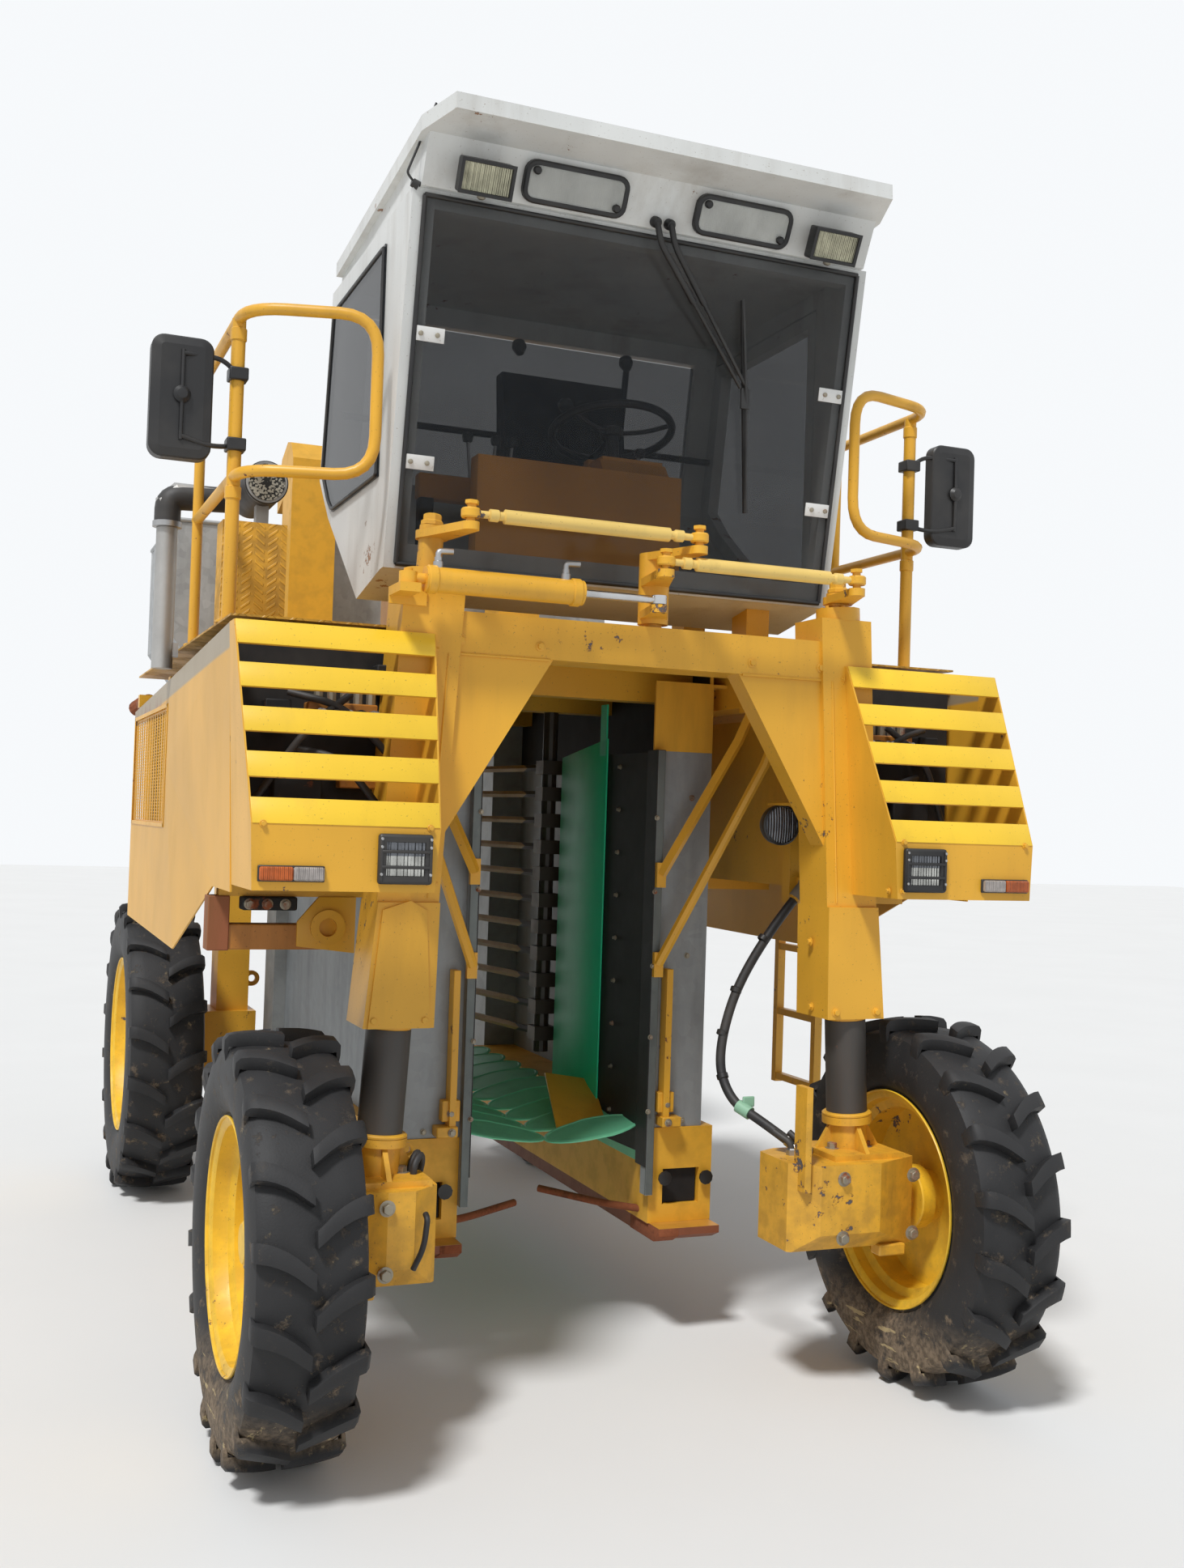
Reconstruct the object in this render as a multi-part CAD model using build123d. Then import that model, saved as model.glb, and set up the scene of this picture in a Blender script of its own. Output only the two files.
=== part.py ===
"""Self-propelled straddle grape harvester, in millimetres.

Frame: +X to the right seen from the front, +Y to the rear, +Z up. The pieces are laid out with
the front kingpins at Y = 0 and the ground at Z = 0, then moved along Y so that the origin is the
middle of the footprint on the ground.
"""
from build123d import *
import math
import os

os.makedirs("parts", exist_ok=True)

# Fits: seated pieces, running shafts, pins in their eyes
SEAT = 0.3
RUN_FIT = 0.06
PIN_PLAY = 0.6

# Wheels
FRONT_TYRE_R = 550
FRONT_TYRE_W = 285
FRONT_RIM_R = 327
FRONT_RIM_W = 250
FRONT_WHEEL_X = 1000
FRONT_DISH = 40
REAR_TYRE_R = 625
REAR_TYRE_W = 315
REAR_RIM_R = 377
REAR_RIM_W = 280
REAR_WHEEL_X = 965
REAR_DISH = 60
WHEELBASE = 3100
LUG_HEIGHT = 34
LUGS_PER_SIDE = 18
LUG_W = 46
LUG_LEAD = 66
BEAD_DEPTH = 20
FLANGE_W = 14
RIM_T = 9
HUB_R = 120
HUB_LEN = 60
SPINDLE_R = 45

# Kingpins: they lean in towards the top, along one straight line on each side
KING_TOP_X = 640
KING_TOP_Z = 2400
KING_LOW_X = 725
KING_LOW_Z = 800
COLUMN_R = 60
COLUMN_TOP_Z = 2235
STUB_R = 34

# Wheel motor boxes on the knuckles
MOTOR_Z0 = 445
MOTOR_Z1 = 700
MOTOR_FRONT_Y = -175
MOTOR_REAR_Y = 90
MOTOR_OUT_X = 890
MOTOR_IN_RIGHT = 465
MOTOR_IN_LEFT = 592
PLATE_T = 16

# Portal: beam and the two legs that house the kingpins
BEAM_FRONT_Y = -50
BEAM_DEPTH = 150
BEAM_LOW_Z = 2115
BEAM_TOP_Z = 2230
LEG_IN = 92
LEG_OUT = 78
LEG_Y0 = -62
LEG_Y1 = BEAM_FRONT_Y + BEAM_DEPTH
LEG_LOW_Z = 1107
LEG_TOP_Z = 2300
LEG_WALL = 10
BOOT_TOP_Z = 1440
BOOT_FLARE = 12
CAP_T = 38
GUSSET_IN_X = 289
GUSSET_LOW_Z = 1585

# Rails, rear legs and outriggers
RAIL_X0 = 560
RAIL_X1 = 690
RAIL_Z0 = 2060
RAIL_Z1 = 2190
REAR_LEG_X1 = 700
REAR_LEG_HALF = 90
REAR_LEG_Z0 = 760
CROSS_H = 110
FRONT_CROSS_Y = 740
SHAFT_CROSS_Y = 1450
REAR_CROSS_Y = 2350
OUTRIGGER_YS = (330, 1250, 2200)
OUTRIGGER_W = 50
SHELF_Z = 1430
TIE_EYE_Z = 900
TIE_EYE_R = 16

# Deck, handrails and ladder
DECK_T = 6
DECK_HALF_W = 1150
DECK_REAR_Y = 2400
HANDRAIL_R = 17
HANDRAIL_IN_X = 770
HANDRAIL_TOP_Z = 3060
HANDRAIL_MID_Z = 2610
HANDRAIL_FRONT_Y = 140
HANDRAIL_END_LEFT = 1090
HANDRAIL_END_RIGHT = 850
LADDER_Y0 = 960
LADDER_Y1 = 1280
LADDER_Z0 = 690
RUNGS = 6
RUNG_PITCH = 250

# Pods beside the portal and side covers behind them
POD_FRONT_Y = -305
POD_TOP_Y = -72
POD_LOW_Z = 1478
POD_CREASE_Z = 1641
POD_TOP_Z = 2158
POD_IN_LOW = 684
POD_IN_TOP = 637
POD_OUT_LOW = 1142
POD_OUT_TOP = 1171
SLAT_W = 68
SLAT_T = 6
SLATS = 5
SHEET = 5
COVER_X = 1170
COVER_Y1 = 2290
COVER_REAR_Z = 2045
COVER_TIP_Y = 900
COVER_TIP_Z = 1233
COVER_CREASE_Y = 304
GRILLE_Y0 = 1250
GRILLE_Y1 = 2250
GRILLE_Z0 = 1615
GRILLE_Z1 = 2010
GRILLE_BARS = 14
GRILLE_BAR_W = 18

# Cab: side outline of the shell in (y, z), window and door outlines in (y, z)
CAB_HALF_W = 720
CAB_WALL = 40
CAB_FLOOR_Z = 2430
CAB_TOP_Z = 3390
CAB_REAR_Y = 1100
CAB_REAR_Z = 2785
CAB_HEEL = (950, 2636)
CAB_BELLY = (510, 2317)
SCREEN_FOOT = (200, 2370)
SCREEN_HEAD = (16.4, 3390)
SCREEN_HALF_W = 690
GLASS_T = 6
POST_W = 65
PANE_LAP = 8
SIDE_WINDOW = ((290, 2650), (290, 3310), (935, 3310), (1030, 2800), (930, 2690), (870, 2650))
DOOR_LINE = ((245, 2440), (245, 3335), (955, 3335), (1045, 2790), (925, 2675), (610, 2450))
REAR_WINDOW = ((-600, 2800), (600, 2800), (600, 3330), (-600, 3330))
DOOR_GAP = 5
DOOR_FRAME_W = 50
HINGE_X = CAB_HALF_W + 14
HINGE_Y = 238
HINGE_R = 6
HINGE_H = 40
HINGE_ZS = (2560, 3200)
ROOF_FRONT_Y = -200
ROOF_FRONT_Z = 3570
ROOF_REAR_Y = 960
ROOF_REAR_Z = 3480
ROOF_T = 45
ROOF_CHAMFER_X = 52
ROOF_CHAMFER_Y = 150
FASCIA_HALF_W = 700
FASCIA_RAKE = 75
SEAT_X = 60
DASH_Z = 2790
WHEEL_CENTRE = (60, 430, 2900)
HAND_WHEEL_R = 190
HAND_WHEEL_T = 13

# Picking head around the row tunnel
HEAD_Y0 = 560
HEAD_Y1 = 2420
HEAD_X = 510
TUNNEL_X = 320
HEAD_LOW_Z = 680
HEAD_TOP_Z = 1910
EDGE_LOW_Z = 470
BASE_Z0 = 370
BASE_OUT_X = 550
SKID_Z0 = 325
SHAFT_X = 270
SHAFT_R = 28
SHAFT_LOW_Z = 800
SHAKER_RODS = 11
SHAKER_Z0 = 870
SHAKER_PITCH = 100
SHAKER_R = 14
SHAKER_TIP_X = 92
SHAKER_TIP_Y = 2390
CLAMP_HALF = 40
CLAMP_H = 52
SCALES = 9
SCALE_PITCH = 195
TOWER_D = 200
TOWER_X0 = 370
TOWER_TOP_Z = 3250

# Hoppers
HOPPER_X0 = 60
HOPPER_X1 = 990
HOPPER_Y0 = 2700
HOPPER_Y1 = 3640
HOPPER_Z0 = 2240
HOPPER_Z1 = 2900
HOPPER_T = 5
PIVOT_Y = HOPPER_Y1 - 40
PIVOT_Z = HOPPER_Z0 - 22
PIVOT_R = 12
PIVOT_X = 630

# Steering linkage, above the portal beam
ARM_DX = 50
ARM_DY = -190
ARM_T = 22
ARM_HUB_R = 44
ARM_TIP_R = 24
CRANK_X = 30
CRANK_R = 26
PIN_R = 12
NUT_R = 19
NUT_H = 10
EYE_R = 26
EYE_H = 26
LIFT = 10
TIE_R = 17
UPPER_ARM_Z = 2446
LOWER_ARM_Z = 2372
CYL_Z = 2292
CYL_ANCHOR_X = -740
CYL_EYE_DX = -50
CYL_EYE_DY = -150
CYL_EYE_R = 22
BARREL_R = 34
PISTON_R = 11
BARREL_END_X = -250
STROKE = 230

FRONT_AXLE_Y = -(WHEELBASE + REAR_TYRE_R - FRONT_TYRE_R) / 2
DECK_Z0 = RAIL_Z1 + SEAT
DECK_TOP_Z = DECK_Z0 + DECK_T
COVER_IN_X = COVER_X - SHEET
OUTRIGGER_X1 = COVER_IN_X - SEAT


def box(x0, x1, y0, y1, z0, z1):
    return Pos((x0 + x1) / 2, (y0 + y1) / 2, (z0 + z1) / 2) * Box(x1 - x0, y1 - y0, z1 - z0)


def rod(a, b, r):
    """Round bar from point a to point b."""
    a, b = Vector(*a), Vector(*b)
    return Solid.make_cylinder(r, (b - a).length, Plane(origin=a, z_dir=b - a))


def bar(a, b, r, sides=8):
    """Bar of polygonal section from point a to point b, r to its corners."""
    a, b = Vector(*a), Vector(*b)
    return extrude(Plane(origin=a, z_dir=b - a) * RegularPolygon(r, sides), amount=(b - a).length)


def mitred_tube(points, r, sides=8):
    """Bar of polygonal section along straight runs with mitred corners."""
    line = Polyline(*points)
    start = Plane(origin=line @ 0, z_dir=line % 0)
    return sweep(start * RegularPolygon(r, sides), path=line, transition=Transition.RIGHT)


def prism_x(points, x0, x1):
    """Outline given in (y, z), thick from x0 to x1."""
    face = Plane.YZ.offset(x0) * make_face(Polyline(*points, close=True))
    return extrude(face, amount=x1 - x0)


def prism_y(points, y0, y1):
    """Outline given in (x, z), thick from y0 to y1."""
    face = Plane.XZ.offset(-y1) * make_face(Polyline(*points, close=True))
    return extrude(face, amount=y1 - y0)


def prism_z(points, z0, z1):
    """Outline given in (x, y), thick from z0 to z1."""
    face = Plane.XY.offset(z0) * make_face(Polyline(*points, close=True))
    return extrude(face, amount=z1 - z0)


def panel(points, thick):
    """Flat sheet on 3-D corner points, thickened along its normal."""
    face = Face(Wire.make_polygon([Vector(*p) for p in points]))
    return Solid.extrude(face, face.normal_at() * thick)


def inset(points, distance):
    """Outline moved inwards, as a face."""
    return offset(make_face(Polyline(*points, close=True)), amount=-distance,
                  kind=Kind.INTERSECTION)


def rounded(points, centre_radius):
    """Corner points of a loop, each corner cut back by two points at the given distance."""
    out = [points[0]]
    for before, corner, after in zip(points, points[1:], points[2:]):
        a, c, b = Vector(*before), Vector(*corner), Vector(*after)
        out.append(tuple(c + (a - c).normalized() * centre_radius))
        middle = (a - c).normalized() + (b - c).normalized()
        out.append(tuple(c + middle * centre_radius * 0.3))
        out.append(tuple(c + (b - c).normalized() * centre_radius))
    return out + [points[-1]]


def other_side(shape):
    return mirror(shape, about=Plane.YZ)


def one(shapes):
    """Join touching pieces into a single body."""
    total = shapes[0]
    for piece in shapes[1:]:
        total = total + piece
    return total


def save(name, *shapes):
    solids = [solid for shape in shapes for solid in shape.solids()]
    body = solids[0] if len(solids) == 1 else Compound(children=solids)
    body = Pos(0, FRONT_AXLE_Y, 0) * body
    body.label = name
    export_step(body, f"parts/{name}.step")
    return body


def save_pair(name, right):
    save(f"{name}_right", right)
    save(f"{name}_left", other_side(right))


def king_x(z):
    """X of the right kingpin line at height z."""
    return KING_LOW_X + (KING_TOP_X - KING_LOW_X) * (z - KING_LOW_Z) / (KING_TOP_Z - KING_LOW_Z)


def king_point(z):
    return (king_x(z), 0, z)


# Tyres and rims
RING_SIDES = 2 * LUGS_PER_SIDE


def faceted_ring(section):
    """Ring about the X axis, flat between RING_SIDES edges; section is a closed (x, r) outline.

    The radii are those of the facets' middles, so that a bead clears the round seat under it.
    """
    turn = 2 * math.pi / RING_SIDES
    reach = 1 / math.cos(turn / 2)

    def corner(point, i):
        x, r = point
        angle = turn * (i + 0.5)
        return Vector(x, -r * reach * math.sin(angle), r * reach * math.cos(angle))

    faces = []
    for a, b in zip(section, section[1:] + section[:1]):
        for i in range(RING_SIDES):
            ring = [corner(a, i), corner(b, i), corner(b, i + 1), corner(a, i + 1)]
            faces.append(Face(Wire.make_polygon(ring)))
    return Solid(Shell(faces))


def tyre(outer_r, width, rim_r, rim_w):
    """Lugged tyre about the X axis, with its beads between the rim's flanges."""
    base = outer_r - LUG_HEIGHT
    half = width / 2
    bead = rim_w / 2 - FLANGE_W - SEAT
    bead_r = rim_r - BEAD_DEPTH + SEAT
    wall_r = rim_r + 0.45 * (base - rim_r)
    carcass = faceted_ring([(-bead, bead_r), (-half, wall_r), (-half + 26, base - 12),
                            (half - 26, base - 12), (half, wall_r), (bead, bead_r)])
    lugs = []
    for side in (-1, 1):
        # Lug outline in (x, y): from the middle of the tread to the shoulder
        outline = [(side * 3, -LUG_LEAD), (side * (half - 5), 0), (side * (half - 5), LUG_W),
                   (side * 3, LUG_W - LUG_LEAD)]
        lug = prism_z(outline, base - 50, outer_r)
        for i in range(LUGS_PER_SIDE):
            turn = (2 * i + (1 if side > 0 else 0)) * 360 / RING_SIDES
            lugs.append(Rot(turn, 0, 0) * lug)
    return carcass.fuse(*lugs)


def rim(rim_r, rim_w, dish):
    """Rim about the X axis with its disc and hub; dish is the disc's place towards +X."""
    half = rim_w / 2
    seat = rim_r - BEAD_DEPTH
    well = rim_r - 50
    barrel = faceted_ring([
        (-half, rim_r), (-half + FLANGE_W, seat), (0, well), (half - FLANGE_W, seat),
        (half, rim_r), (half, rim_r - RIM_T), (half - FLANGE_W, seat - RIM_T), (0, well - RIM_T),
        (-half + FLANGE_W, seat - RIM_T), (-half, rim_r - RIM_T)])
    cone = faceted_ring([(20, well + 2), (34, well + 7), (dish + 8, HUB_R - 10),
                         (dish - 4, HUB_R - 10)])
    hub = Rot(0, 90, 0) * extrude(Plane.XY.offset(dish - HUB_LEN) * RegularPolygon(
        HUB_R + 6, 12), amount=HUB_LEN + 12)
    bore = rod((dish - HUB_LEN - 1, 0, 0), (dish + 20, 0, 0), SPINDLE_R + RUN_FIT)
    return barrel.fuse(cone, hub) - bore


WHEELS = (
    # name, tyre radius, tyre width, rim radius, rim width, dish, x, y
    ("front", FRONT_TYRE_R, FRONT_TYRE_W, FRONT_RIM_R, FRONT_RIM_W, FRONT_DISH, FRONT_WHEEL_X, 0),
    ("rear", REAR_TYRE_R, REAR_TYRE_W, REAR_RIM_R, REAR_RIM_W, REAR_DISH, REAR_WHEEL_X,
     WHEELBASE),
)
for name, tyre_r, tyre_w, rim_r, rim_w, dish, x, y in WHEELS:
    save_pair(f"tyre_{name}", Pos(x, y, tyre_r) * tyre(tyre_r, tyre_w, rim_r, rim_w))
    save_pair(f"rim_{name}", Pos(x, y, tyre_r) * rim(rim_r, rim_w, dish))

# Steered knuckles: column, motor box and spindle
tilt = Vector(KING_TOP_X - KING_LOW_X, 0, KING_TOP_Z - KING_LOW_Z).normalized()
FLANGE_Z = 790


def motor_box(inner_x):
    """Box with a three-faced front, its top plate with gussets, and the column's flange."""
    face_x = inner_x + 75
    outline = [(inner_x, MOTOR_REAR_Y - 30), (inner_x, MOTOR_FRONT_Y + 65),
               (face_x, MOTOR_FRONT_Y), (MOTOR_OUT_X - 150, MOTOR_FRONT_Y),
               (MOTOR_OUT_X, MOTOR_FRONT_Y + 65), (MOTOR_OUT_X, MOTOR_REAR_Y),
               (inner_x + 60, MOTOR_REAR_Y)]
    body = prism_z(outline, MOTOR_Z0, MOTOR_Z1)
    body = body - prism_x([(MOTOR_FRONT_Y - 5, MOTOR_Z0 + 60), (MOTOR_FRONT_Y - 5, MOTOR_Z0 - 5),
                           (MOTOR_FRONT_Y + 60, MOTOR_Z0 - 5)], inner_x - 5, MOTOR_OUT_X + 5)
    top = box(KING_LOW_X - 115, KING_LOW_X + 120, MOTOR_FRONT_Y + 45, MOTOR_REAR_Y, MOTOR_Z1 - 2,
              MOTOR_Z1 + PLATE_T)
    gussets = [prism_y([(KING_LOW_X - 105, MOTOR_Z1 + PLATE_T - 1),
                        (KING_LOW_X + 110, MOTOR_Z1 + PLATE_T - 1),
                        (KING_LOW_X + 62, FLANGE_Z + 1), (KING_LOW_X - 58, FLANGE_Z + 1)], -7, 7),
               prism_x([(MOTOR_FRONT_Y + 50, MOTOR_Z1 + PLATE_T - 1),
                        (MOTOR_REAR_Y - 5, MOTOR_Z1 + PLATE_T - 1), (62, FLANGE_Z + 1),
                        (-62, FLANGE_Z + 1)], KING_LOW_X - 7, KING_LOW_X + 7)]
    return one([body, top] + gussets)


def king_post(arm_z):
    """Column with its flange, the stub that carries the steering arm, and the wheel spindle."""
    return [rod(king_point(MOTOR_Z1), king_point(COLUMN_TOP_Z), COLUMN_R),
            rod(king_point(COLUMN_TOP_Z - 5), king_point(arm_z + 14), STUB_R),
            rod(king_point(FLANGE_Z), king_point(FLANGE_Z + 22), COLUMN_R + 15),
            rod((MOTOR_OUT_X - 10, 0, FRONT_TYRE_R),
                (FRONT_WHEEL_X + FRONT_DISH + 18, 0, FRONT_TYRE_R), SPINDLE_R)]


def lever(x0, y0, dx, dy, z, hub_r=ARM_HUB_R):
    """Flat steering lever from a hub at (x0, y0) to a tip, round at both ends, top face at z."""
    hub = Pos(x0, y0, z - ARM_T / 2) * Cylinder(hub_r, ARM_T)
    tip = Pos(x0 + dx, y0 + dy, z - ARM_T / 2) * Cylinder(ARM_TIP_R, ARM_T)
    side = Vector(-dy, dx).normalized()
    a, b = side * (hub_r - 2), side * (ARM_TIP_R - 1)
    web = prism_z([(x0 + a.X, y0 + a.Y), (x0 - a.X, y0 - a.Y), (x0 + dx - b.X, y0 + dy - b.Y),
                   (x0 + dx + b.X, y0 + dy + b.Y)], z - ARM_T, z)
    return one([hub, tip, web])


PIN_LEN = EYE_H + 2 * LIFT + 1
right_x = king_x(LOWER_ARM_Z)
left_x = -king_x(UPPER_ARM_Z)
right_tip = (right_x - ARM_DX, ARM_DY, LOWER_ARM_Z)
left_tip = (left_x + ARM_DX, ARM_DY, UPPER_ARM_Z)


def tilted_pin(tip, side):
    """Ball pin with its nut beside a kingpin, parallel to it; side is +1 on the right."""
    axis = Vector(side * tilt.X, 0, tilt.Z)
    foot = Vector(*tip)
    pin = rod(tuple(foot - axis * NUT_H), tuple(foot + axis * (PIN_LEN + 4)), PIN_R)
    nut = bar(tuple(foot + axis * PIN_LEN), tuple(foot + axis * (PIN_LEN + NUT_H)), NUT_R, 6)
    return one([pin, nut])


right_lever = lever(right_x, 0, -ARM_DX, ARM_DY, LOWER_ARM_Z)
left_lever = lever(left_x, 0, ARM_DX, ARM_DY, UPPER_ARM_Z)
hose_bracket = box(MOTOR_IN_RIGHT + 22, MOTOR_IN_RIGHT + 42, MOTOR_FRONT_Y + 5,
                   MOTOR_FRONT_Y + 70, MOTOR_Z0 + 180, MOTOR_Z1 + 225)
save("knuckle_right", one([motor_box(MOTOR_IN_RIGHT)] + king_post(LOWER_ARM_Z)
                          + [hose_bracket, right_lever, tilted_pin(right_tip, 1)]))
left_post = one([motor_box(MOTOR_IN_LEFT)] + king_post(UPPER_ARM_Z))
save("knuckle_left", one([other_side(left_post), left_lever, tilted_pin(left_tip, -1)]))

# Bellcrank on the portal beam, with one lever for each tie rod and one for the cylinder
CRANK_LOW_Z = BEAM_TOP_Z + 12
crank_hub = rod((CRANK_X, 0, CRANK_LOW_Z), (CRANK_X, 0, UPPER_ARM_Z), ARM_HUB_R)
LEVERS = (
    # tip's offset in x and y, height of the top face, has a pin
    (ARM_DX, ARM_DY, UPPER_ARM_Z, True),
    (-ARM_DX, ARM_DY, LOWER_ARM_Z, True),
    (CYL_EYE_DX, CYL_EYE_DY, CYL_Z - EYE_H / 2 - 1, False),
)
crank = [crank_hub]
for dx, dy, z, pinned in LEVERS:
    crank.append(lever(CRANK_X, 0, dx, dy, z))
    if pinned:
        x = CRANK_X + dx
        crank.append(rod((x, dy, z - NUT_H), (x, dy, z + PIN_LEN + 4), PIN_R))
        crank.append(bar((x, dy, z + PIN_LEN), (x, dy, z + PIN_LEN + NUT_H), NUT_R, 6))
CRANK_SHAFT_TOP = UPPER_ARM_Z - 30
save("bellcrank", one(crank) - rod((CRANK_X, 0, CRANK_LOW_Z - 5), (CRANK_X, 0, CRANK_SHAFT_TOP + 8),
                                   CRANK_R + RUN_FIT))


def tie_rod(x0, x1, z, side):
    """Tie rod between two pins at y = ARM_DY; z is the lever's face, side tells the tilted end."""
    mid = z + LIFT + EYE_H / 2
    body = bar((x0 + 20, ARM_DY, mid), (x1 - 20, ARM_DY, mid), TIE_R, 12)
    tilted_x = x1 if side > 0 else x0
    for x in (x0, x1):
        body = body + Pos(x, ARM_DY, mid) * Cylinder(EYE_R, EYE_H)
    for x in (x0, x1):
        axis = Vector(side * tilt.X, 0, tilt.Z) if x == tilted_x else Vector(0, 0, 1)
        foot = Vector(x, ARM_DY, z)
        body = body - rod(tuple(foot - axis * EYE_H), tuple(foot + axis * 3 * EYE_H),
                          PIN_R + PIN_PLAY)
    return body


save("tie_rod_left", tie_rod(left_tip[0], CRANK_X + ARM_DX, UPPER_ARM_Z, -1))
save("tie_rod_right", tie_rod(CRANK_X - ARM_DX, right_tip[0], LOWER_ARM_Z, 1))

# Steering cylinder: the barrel swings on a pin at the left leg, the rod's eye lies on its lever
eye_x = CRANK_X + CYL_EYE_DX


def along(x, r0, x1):
    return rod((x, CYL_EYE_DY, CYL_Z), (x1, CYL_EYE_DY, CYL_Z), r0)


barrel = along(CYL_ANCHOR_X + 45, BARREL_R, BARREL_END_X)
barrel = barrel + along(CYL_ANCHOR_X + 14, 14, CYL_ANCHOR_X + 50)
barrel = barrel + Pos(CYL_ANCHOR_X, CYL_EYE_DY, CYL_Z) * Cylinder(24, 30)
barrel = barrel - rod((CYL_ANCHOR_X, CYL_EYE_DY, CYL_Z - 60),
                      (CYL_ANCHOR_X, CYL_EYE_DY, CYL_Z + 60), PIN_R + RUN_FIT)
barrel = barrel - along(BARREL_END_X - STROKE - 180, PISTON_R + RUN_FIT, BARREL_END_X + 10)
save("steer_barrel", barrel)
piston = along(BARREL_END_X - STROKE, PISTON_R, eye_x - 10)
save("steer_rod", piston + Pos(eye_x, CYL_EYE_DY, CYL_Z) * Cylinder(CYL_EYE_R, EYE_H - 2))

# Portal: beam, gussets with folded edges, and the two leaning legs that house the kingpins
BEAM_HALF = RAIL_X0 + 25
BEAM_WALL = 10


def leg_outline(z0, z1, margin=0, flare=0):
    """Outline of a leg in (x, z), its walls moved in by margin, its foot widened by flare."""
    low, high = king_x(z0), king_x(z1)
    return [(low - LEG_IN + margin - flare, z0), (low + LEG_OUT - margin + flare, z0),
            (high + LEG_OUT - margin, z1), (high - LEG_IN + margin, z1)]


leg = prism_y(leg_outline(LEG_LOW_Z, LEG_TOP_Z), LEG_Y0, LEG_Y1)
boot = prism_y(leg_outline(LEG_LOW_Z, BOOT_TOP_Z, 0, BOOT_FLARE), LEG_Y0 - BOOT_FLARE,
               LEG_Y1 + BOOT_FLARE)
cap = rod(king_point(LEG_TOP_Z - 2), king_point(LEG_TOP_Z + CAP_T), COLUMN_R + 6)
leg = one([leg, boot, cap])
leg = leg - prism_y(leg_outline(LEG_LOW_Z + 90, LEG_TOP_Z - 110, LEG_WALL), LEG_Y0 + LEG_WALL,
                    LEG_Y1 - LEG_WALL)
leg = leg - rod(king_point(LEG_LOW_Z - 60), king_point(COLUMN_TOP_Z + 5), COLUMN_R + RUN_FIT)
leg = leg - rod(king_point(COLUMN_TOP_Z - 5), king_point(LEG_TOP_Z + 2 * CAP_T), STUB_R + RUN_FIT)
gusset_foot_x = king_x(GUSSET_LOW_Z) - LEG_IN + 20
gusset_line = [(GUSSET_IN_X, BEAM_LOW_Z + 1), (gusset_foot_x + 30, BEAM_LOW_Z + 1),
               (gusset_foot_x + 30, GUSSET_LOW_Z), (gusset_foot_x, GUSSET_LOW_Z)]
gusset = prism_y(gusset_line, BEAM_FRONT_Y + 4, BEAM_FRONT_Y + 14)
edge_run = Vector(gusset_foot_x - GUSSET_IN_X, GUSSET_LOW_Z - BEAM_LOW_Z).normalized()
edge_in = Vector(-edge_run.Y, edge_run.X) * 8
fold = prism_y([(GUSSET_IN_X, BEAM_LOW_Z + 1), (gusset_foot_x, GUSSET_LOW_Z),
                (gusset_foot_x + edge_in.X, GUSSET_LOW_Z + edge_in.Y),
                (GUSSET_IN_X + edge_in.X, BEAM_LOW_Z + 1 + edge_in.Y)],
               BEAM_FRONT_Y + 4, BEAM_FRONT_Y + 80)
gusset = gusset + fold - prism_y(leg_outline(LEG_LOW_Z, LEG_TOP_Z), LEG_Y0, LEG_Y1)
beam = box(-BEAM_HALF, BEAM_HALF, BEAM_FRONT_Y, LEG_Y1, BEAM_LOW_Z, BEAM_TOP_Z)
beam = beam - box(-BEAM_HALF + 45, BEAM_HALF - 45, BEAM_FRONT_Y + BEAM_WALL, LEG_Y1 - BEAM_WALL,
                  BEAM_LOW_Z + BEAM_WALL, BEAM_TOP_Z - BEAM_WALL)
beam = beam + box(CRANK_X - 60, CRANK_X + 60, BEAM_FRONT_Y, LEG_Y1, BEAM_LOW_Z, BEAM_TOP_Z)
crank_shaft = rod((CRANK_X, 0, BEAM_TOP_Z - 20), (CRANK_X, 0, CRANK_SHAFT_TOP), CRANK_R)
anchor_x0 = CYL_ANCHOR_X - 28
anchor = box(anchor_x0, CYL_ANCHOR_X + 75, LEG_Y0 - 10, LEG_Y0 + 1, CYL_Z - 60, CYL_Z - 16)
anchor = anchor + box(anchor_x0, CYL_ANCHOR_X + 28, CYL_EYE_DY - 30, LEG_Y0 - 2, CYL_Z - 40,
                      CYL_Z - 16)
anchor = anchor + rod((CYL_ANCHOR_X, CYL_EYE_DY, CYL_Z - 38),
                      (CYL_ANCHOR_X, CYL_EYE_DY, CYL_Z + 24), PIN_R)
APRON_X0 = -LEG_OUT - king_x(LEG_LOW_Z)
apron = prism_y([(APRON_X0, LEG_LOW_Z), (APRON_X0 + 170, LEG_LOW_Z), (APRON_X0 + 150, BOOT_TOP_Z - 20),
                 (APRON_X0 + 105, BOOT_TOP_Z + 5), (APRON_X0 + 30, BOOT_TOP_Z - 20)],
                LEG_Y0 - BOOT_FLARE - 6, LEG_Y0 - BOOT_FLARE + 4)
save("portal", one([beam, leg, gusset, other_side(leg), other_side(gusset), crank_shaft, anchor,
                    apron]))

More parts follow.
